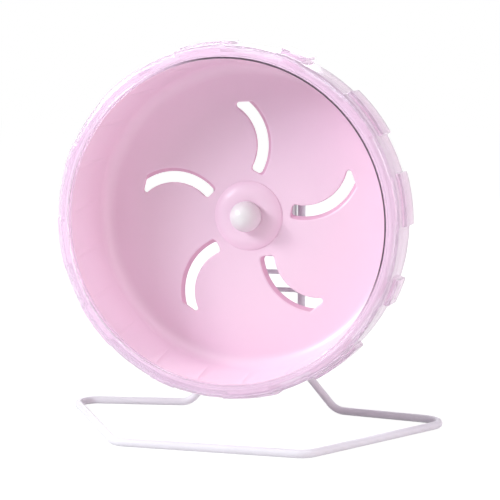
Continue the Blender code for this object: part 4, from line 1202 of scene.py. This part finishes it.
def make_bolt(seat, finishes):
    """Hexagon bolt, its head against the front washer and its thread behind the rear bearing."""
    shank = BORE - SEAT_GAP
    root = shank - THREAD_DEPTH
    depth = BEARING_REAR + BEARING_WIDTH
    outline = [(0.0, seat - HEAD_HEIGHT / 2), (shank, seat - HEAD_HEIGHT / 2), (shank, depth)]
    while depth < BOLT_BACK - THREAD_PITCH:
        outline.append((root, depth + THREAD_PITCH * ROOT_START_SHARE))
        outline.append((root, depth + THREAD_PITCH * ROOT_END_SHARE))
        outline.append((shank, depth + THREAD_PITCH * CREST_START_SHARE))
        depth += THREAD_PITCH
        outline.append((shank, depth))
    outline += [(shank, BOLT_BACK - THREAD_DEPTH), (root, BOLT_BACK), (0.0, BOLT_BACK)]
    bolt = combined(hex_blank(seat - HEAD_HEIGHT, seat), [turned(outline, closed=False)], "UNION")
    finished("hex_bolt", bolt, ["axle_bolt"], "stand", finishes["steel"])


def make_spacers(seat, finishes):
    """Washer, the spacers between and behind the inner races, and the outer races' sleeve."""
    front = BEARING_FRONT + BEARING_WIDTH + SEAT_GAP
    back = BEARING_REAR - SEAT_GAP
    rear = BEARING_REAR + BEARING_WIDTH + SEAT_GAP
    washer = ring_outline(BORE, WASHER_RADIUS, seat + SEAT_GAP, seat + SEAT_GAP + WASHER_WALL)
    spacer = ring_outline(BORE, SPACER_RADIUS, front, back)
    sleeve = ring_outline(BEARING_OUTER - SLEEVE_WALL, BEARING_OUTER, front, back)
    collar = ring_outline(BORE, COLLAR_RADIUS, rear, rear + COLLAR_LENGTH)
    for name, outline, node, body, slot, finish in (
        ("thin_washer", washer, "front_washer", "stand", "steel", "steel"),
        ("race_spacer", spacer, "inner_spacer", "stand", "steel", "steel"),
        ("race_sleeve", sleeve, "bearing_sleeve", "wheel", "white_plastic", "white"),
        ("rear_collar", collar, "rear_spacer", "stand", "steel", "steel"),
    ):
        finished(name, turned(outline), [node], body, finishes[finish])


def make_nut(finishes):
    """Lock nut with a nylon insert in its back end."""
    front = NUT_FRONT - BORE
    back = NUT_FRONT + NUT_HEIGHT
    recess = back - INSERT_SEAT_DEPTH
    wide = BORE + INSERT_SEAT_WALL
    hole = turned([(0.0, front), (BORE, front), (BORE, BOLT_BACK), (0.0, BOLT_BACK)], closed=False)
    seat_ring = turned(
        [(0.0, recess), (wide, recess), (wide, BOLT_BACK), (0.0, BOLT_BACK)], closed=False,
    )
    nut = combined(hex_blank(NUT_FRONT, back), [hole, seat_ring])
    finished("hex_nut", nut, ["lock_nut"], "stand", finishes["steel"])
    insert = ring_outline(BORE, BORE + INSERT_WALL, back - INSERT_DEPTH, back + INSERT_RISE)
    finished("nut_insert", turned(insert), ["lock_nut"], "stand", finishes["nylon"])


def make_axle(finishes):
    """The fixed bolt and everything stacked on it except the bearings."""
    seat = BEARING_FRONT - 2 * SEAT_GAP - WASHER_WALL
    make_bolt(seat, finishes)
    make_spacers(seat, finishes)
    make_nut(finishes)


# Axle carrier


def screw_places():
    """Where each clamp screw sits beside the axle: across and up."""
    return {
        "upper_left": (-SCREW_ACROSS, SCREW_ABOVE),
        "lower_left": (-SCREW_ACROSS, -SCREW_BELOW),
        "upper_right": (SCREW_ACROSS, SCREW_ABOVE),
        "lower_right": (SCREW_ACROSS, -SCREW_BELOW),
    }


def plate_outline():
    """Outline of both plates, narrower at the waist beside the axle."""
    side = UPRIGHT_HALF + GROOVE_RADIUS + CARRIER_SIDE_WALL
    top = UPRIGHT_TOP + GROOVE_RADIUS + CARRIER_TOP_WALL
    small = CARRIER_CORNER / 2
    right = [
        (side, -CARRIER_DROP, CARRIER_CORNER),
        (side, -WAIST_BELOW, small),
        (WAIST_HALF, -WAIST_BELOW, small),
        (WAIST_HALF, WAIST_ABOVE, small),
        (side, WAIST_ABOVE, small),
        (side, top, CARRIER_CORNER),
    ]
    left = [(-across, up, radius) for across, up, radius in reversed(right)]
    return rounded(right + left)


def plate(front, back, bevelled):
    """A flat H-shaped plate, its bevelled face rounded all along the outline."""
    outline = plate_outline()
    bm = bmesh.new()
    loops = []
    for depth in (front, back):
        verts = [bm.verts.new(spot(across, depth, up)) for across, up in outline]
        loops.append([bm.edges.new(pair) for pair in zip(verts, verts[1:] + verts[:1])])
    bmesh.ops.bridge_loops(bm, edges=loops[0] + loops[1])
    for loop in loops:
        bmesh.ops.contextual_create(bm, geom=loop)
    bmesh.ops.recalc_face_normals(bm, faces=bm.faces[:])
    edges = [
        edge for edge in bm.edges
        if all(abs(vert.co.y - FRONT_Y - bevelled) < WELD for vert in edge.verts)
    ]
    bmesh.ops.bevel(
        bm, geom=edges, offset=CARRIER_EDGE, segments=3, profile=0.5, affect="EDGES", material=-1,
    )
    return bm


def round_hole(radius, front, back, across=0.0, up=0.0):
    """A round cutter along the axle's direction."""
    rows = []
    for depth in (front, back):
        row = []
        for n in range(HOLE_SIDES):
            turn = 2 * math.pi * n / HOLE_SIDES
            row.append(spot(across + radius * math.cos(turn), depth, up + radius * math.sin(turn)))
        rows.append(row)
    return skinned(bmesh.new(), rows)


def wire_mesh(path, radius, closed):
    """A round wire along a line of points."""
    curve = bpy.data.curves.new("wire", "CURVE")
    curve.dimensions = "3D"
    curve.bevel_depth = radius
    curve.bevel_resolution = WIRE_SIDES // 2 - 2
    curve.use_fill_caps = not closed
    spline = curve.splines.new("POLY")
    spline.points.add(len(path) - 1)
    for point, where in zip(spline.points, path):
        point.co = (where.x, where.y, where.z, 1.0)
    spline.use_cyclic_u = closed
    obj = bpy.data.objects.new("wire", curve)
    scene.collection.objects.link(obj)
    graph = bpy.context.evaluated_depsgraph_get()
    mesh = bpy.data.meshes.new_from_object(obj.evaluated_get(graph))
    bm = bmesh.new()
    bm.from_mesh(mesh)
    bpy.data.objects.remove(obj, do_unlink=True)
    bpy.data.curves.remove(curve)
    bpy.data.meshes.remove(mesh)
    bmesh.ops.remove_doubles(bm, verts=bm.verts[:], dist=WELD)
    bmesh.ops.recalc_face_normals(bm, faces=bm.faces[:])
    return bm


def bow_groove():
    """Room for the bow and both uprights between the plates."""
    low = -CARRIER_DROP - CARRIER_CORNER
    corners = [
        (*spot(UPRIGHT_HALF, UPRIGHT_DEPTH, low), 0.0),
        (*spot(UPRIGHT_HALF, UPRIGHT_DEPTH, UPRIGHT_TOP), TOP_BEND),
        (*spot(-UPRIGHT_HALF, UPRIGHT_DEPTH, UPRIGHT_TOP), TOP_BEND),
        (*spot(-UPRIGHT_HALF, UPRIGHT_DEPTH, low), 0.0),
    ]
    return wire_mesh(rounded(corners, closed=False, steps=BEND_STEPS), GROOVE_RADIUS, False)


def make_carrier(finishes):
    """Two plates clamped round the bow of the stand, the rear one with a pocket for the nut."""
    carrier_back = UPRIGHT_DEPTH - CARRIER_SPLIT / 2
    clamp_front = UPRIGHT_DEPTH + CARRIER_SPLIT / 2
    clamp_back = UPRIGHT_DEPTH + GROOVE_RADIUS + CLAMP_WALL
    beyond = clamp_back + CLAMP_WALL
    hole = SCREW_RADIUS + SEAT_GAP
    front_cutters = [round_hole(BORE, CARRIER_FRONT - CLAMP_WALL, clamp_back), bow_groove()]
    back_cutters = [bow_groove()]
    for across, up in screw_places().values():
        front_cutters.append(round_hole(hole, CARRIER_FRONT + SCREW_HOLE_INSET, clamp_back, across, up))
        back_cutters.append(round_hole(hole, CARRIER_FRONT, beyond, across, up))
    carrier = combined(plate(CARRIER_FRONT, carrier_back, CARRIER_FRONT), front_cutters)
    finished("front_plate", carrier, ["axle_carrier"], "stand", finishes["white"])
    pocket = (HEX_FLATS + 2 * SEAT_GAP) / math.sqrt(3)
    rows = [hexagon(pocket, NUT_FRONT - SEAT_GAP), hexagon(pocket, beyond)]
    back_cutters.append(skinned(bmesh.new(), rows))
    back_cutters.append(round_hole(BORE, CARRIER_FRONT, clamp_back))
    clamp = combined(plate(clamp_front, clamp_back, clamp_back), back_cutters)
    finished("back_plate", clamp, ["carrier_clamp"], "stand", finishes["white"])


def cross_recess(across, up, seat):
    """Tapered cutters for both arms of the cross in a screw's head."""
    arms = []
    for wide, tall in ((CROSS_LONG, CROSS_NARROW), (CROSS_NARROW, CROSS_LONG)):
        rows = []
        for rise, share in ((CROSS_FLOOR, CROSS_FLOOR_SHARE), (CROSS_MOUTH, CROSS_MOUTH_SHARE)):
            row = []
            for a, b in ((1, 1), (-1, 1), (-1, -1), (1, -1)):
                row.append(spot(across + wide * share * a, seat + rise, up + tall * share * b))
            rows.append(row)
        arms.append(skinned(bmesh.new(), rows))
    return arms


def make_screws(finishes):
    """Four screws that hold the plates together, driven in from the back."""
    seat = UPRIGHT_DEPTH + GROOVE_RADIUS + CLAMP_WALL + SEAT_GAP
    tip = CARRIER_FRONT + SCREW_TIP_INSET
    outline = rounded([
        (0.0, tip, 0.0),
        (SCREW_RADIUS, tip + SCREW_RADIUS, 0.0),
        (SCREW_RADIUS, seat, 0.0),
        (SCREW_HEAD_RADIUS, seat, SEAT_GAP),
        (SCREW_HEAD_RADIUS, seat + SCREW_HEAD_HEIGHT / 3, SCREW_HEAD_HEIGHT / 2),
        (SCREW_HEAD_RADIUS * SCREW_CROWN_SHARE, seat + SCREW_HEAD_HEIGHT, SCREW_HEAD_HEIGHT),
        (0.0, seat + SCREW_HEAD_HEIGHT, 0.0),
    ], closed=False)
    for name, (across, up) in screw_places().items():
        points = [spot(across + radius, depth, up) for radius, depth in outline]
        bm = spun(points, False, SCREW_TURN_STEPS, spot(across, 0.0, up))
        bm = combined(bm, cross_recess(across, up, seat))
        finished(
            "cross_head_screw_" + name, bm, ["clamp_screw_" + name],
            "stand", finishes["screw_" + name],
        )


# Stand


def make_stand(finishes):
    """The bent wire, one closed loop from the front bar over the feet and legs to the bow."""
    base = STAND_BOTTOM + WIRE_RADIUS - AXLE.z
    half = [
        (FRONT_HALF, FRONT_BAR_DEPTH, base, BASE_BEND),
        (BACK_HALF, BACK_DEPTH, base, BASE_BEND),
        (LEG_FOOT_HALF, UPRIGHT_DEPTH, base, LEG_BEND),
        (UPRIGHT_HALF, UPRIGHT_DEPTH, -LEG_BEND_DROP, LEG_BEND),
        (UPRIGHT_HALF, UPRIGHT_DEPTH, UPRIGHT_TOP, TOP_BEND),
    ]
    corners = [(*spot(across, depth, up), radius) for across, depth, up, radius in half]
    corners += [(*spot(-across, depth, up), radius) for across, depth, up, radius in reversed(half)]
    loop = wire_mesh(rounded(corners, steps=BEND_STEPS), WIRE_RADIUS, True)
    finished("bent_wire", loop, ["wire_stand"], "stand", finishes["wire"])


def make_rungs(finishes):
    """Cross wires between the uprights, with a drop of weld at each end."""
    face = UPRIGHT_HALF - WIRE_RADIUS
    right = [
        (face - WELD_REACH, RUNG_RADIUS, WELD_REACH),
        (face + WIRE_RADIUS / 4, WELD_RADIUS, 0.0),
        (face + WIRE_RADIUS / 2, WELD_RADIUS, 0.0),
        (face + WIRE_RADIUS / 2, 0.0, 0.0),
    ]
    left = [(-across, radius, corner) for across, radius, corner in reversed(right)]
    outline = rounded(left + right, closed=False)
    for k, name in enumerate(("upper", "middle", "lower")):
        up = -FIRST_RUNG_DROP - k * RUNG_PITCH
        points = [spot(across, UPRIGHT_DEPTH, up + radius) for across, radius in outline]
        bm = spun(points, False, RUNG_TURN_STEPS, spot(0.0, UPRIGHT_DEPTH, up), (1, 0, 0))
        finished("rung_" + name, bm, ["cross_rung_" + name], "stand", finishes["wire"])


# Floor, light and camera


def make_floor():
    """Pale floor: its shadow shows near the wheel, and it fades to plain white far off."""
    bm = bmesh.new()
    bmesh.ops.create_grid(bm, x_segments=1, y_segments=1, size=FLOOR_SIZE)
    floor = loose_object(bm, "floor")
    material, tree, shader = new_material("pale_floor")
    shader.inputs["Base Color"].default_value = FLOOR_COLOUR
    shader.inputs["Roughness"].default_value = FLOOR_ROUGHNESS
    shader.inputs["Specular IOR Level"].default_value = 0.0
    coords = add_node(tree, "TexCoord").outputs["Object"]
    reach = reckon_vector(tree, "LENGTH", coords)
    fade = eased(tree, reach, FLOOR_NEAR, FLOOR_FAR, FLOOR_GLOW_NEAR, 1.0 / FLOOR_SHARE)
    glow = add_node(tree, "Emission", {"Strength": fade})
    share = reckon(tree, "MULTIPLY", ray_is(tree, "Camera", "Glossy", "Transmission"), FLOOR_SHARE)
    mix = add_node(tree, "MixShader", {0: share, 1: shader.outputs[0], 2: glow.outputs[0]})
    linked(tree, tree.nodes["Material Output"], {"Surface": mix.outputs[0]})
    floor.data.materials.append(material)


def make_world():
    """White where the background is seen, and a dark room behind the camera in gloss and clear plastic."""
    world = bpy.data.worlds.new("studio")
    scene.world = world
    world.use_nodes = True
    tree = world.node_tree
    background = tree.nodes["Background"]
    coords = add_node(tree, "TexCoord")
    parts = add_node(tree, "SeparateXYZ", {0: coords.outputs["Generated"]})
    room = eased(tree, parts.outputs["Y"], ROOM_DARK, ROOM_WHITE, ROOM_LEVEL)
    mirror = ray_is(tree, "Glossy", "Transmission")
    lit = add_node(tree, "Mix", {"Factor": mirror, "A": WORLD_FILL, "B": room})
    camera = ray_is(tree, "Camera")
    seen = add_node(tree, "Mix", {"Factor": camera, "A": lit.outputs["Result"], "B": 1.0})
    linked(tree, background, {"Strength": seen.outputs["Result"]})
    background.inputs["Color"].default_value = (1.0, 1.0, 1.0, 1.0)


def area_light(name, azimuth, elevation, distance, size, power, colour):
    """A round lamp at an angle round the wheel's face and an angle out of its disc."""
    data = bpy.data.lights.new(name, "AREA")
    data.shape = "DISK"
    data.size = size
    data.energy = power
    data.color = colour
    light = bpy.data.objects.new(name, data)
    scene.collection.objects.link(light)
    turn = math.radians(azimuth)
    rise = math.radians(elevation)
    way = Vector((math.cos(turn) * math.cos(rise), -math.sin(rise), math.sin(turn) * math.cos(rise)))
    light.location = AXLE + way * distance
    light.rotation_euler = way.to_track_quat("Z", "Y").to_euler()


def make_camera():
    """Camera fitted to the photograph, looking at a place beside the axle."""
    data = bpy.data.cameras.new("photo_camera")
    data.sensor_width = SENSOR
    data.lens = SENSOR * FOCAL_PIXELS / IMAGE_PIXELS
    camera = bpy.data.objects.new("photo_camera", data)
    scene.collection.objects.link(camera)
    back = Vector((
        math.sin(CAMERA_AZIMUTH) * math.cos(CAMERA_ELEVATION),
        -math.cos(CAMERA_AZIMUTH) * math.cos(CAMERA_ELEVATION),
        math.sin(CAMERA_ELEVATION),
    ))
    camera.location = spot(AIM_ACROSS, 0.0, AIM_UP) + back * CAMERA_DISTANCE
    camera.rotation_euler = back.to_track_quat("Z", "Y").to_euler()
    scene.camera = camera


finishes = make_finishes()
make_camera()
make_bowl(finishes)
make_ring(finishes)
make_cap(finishes)
make_bearing("front", BEARING_FRONT, finishes)
make_bearing("rear", BEARING_REAR, finishes)
make_axle(finishes)
make_carrier(finishes)
make_screws(finishes)
make_stand(finishes)
make_rungs(finishes)
make_floor()
make_world()
for lamp in LAMPS:
    area_light(*lamp)
scene.view_settings.view_transform = "Standard"
scene.cycles.max_bounces = CLEAR_BOUNCES
scene.cycles.glossy_bounces = CLEAR_BOUNCES
scene.cycles.transmission_bounces = CLEAR_BOUNCES
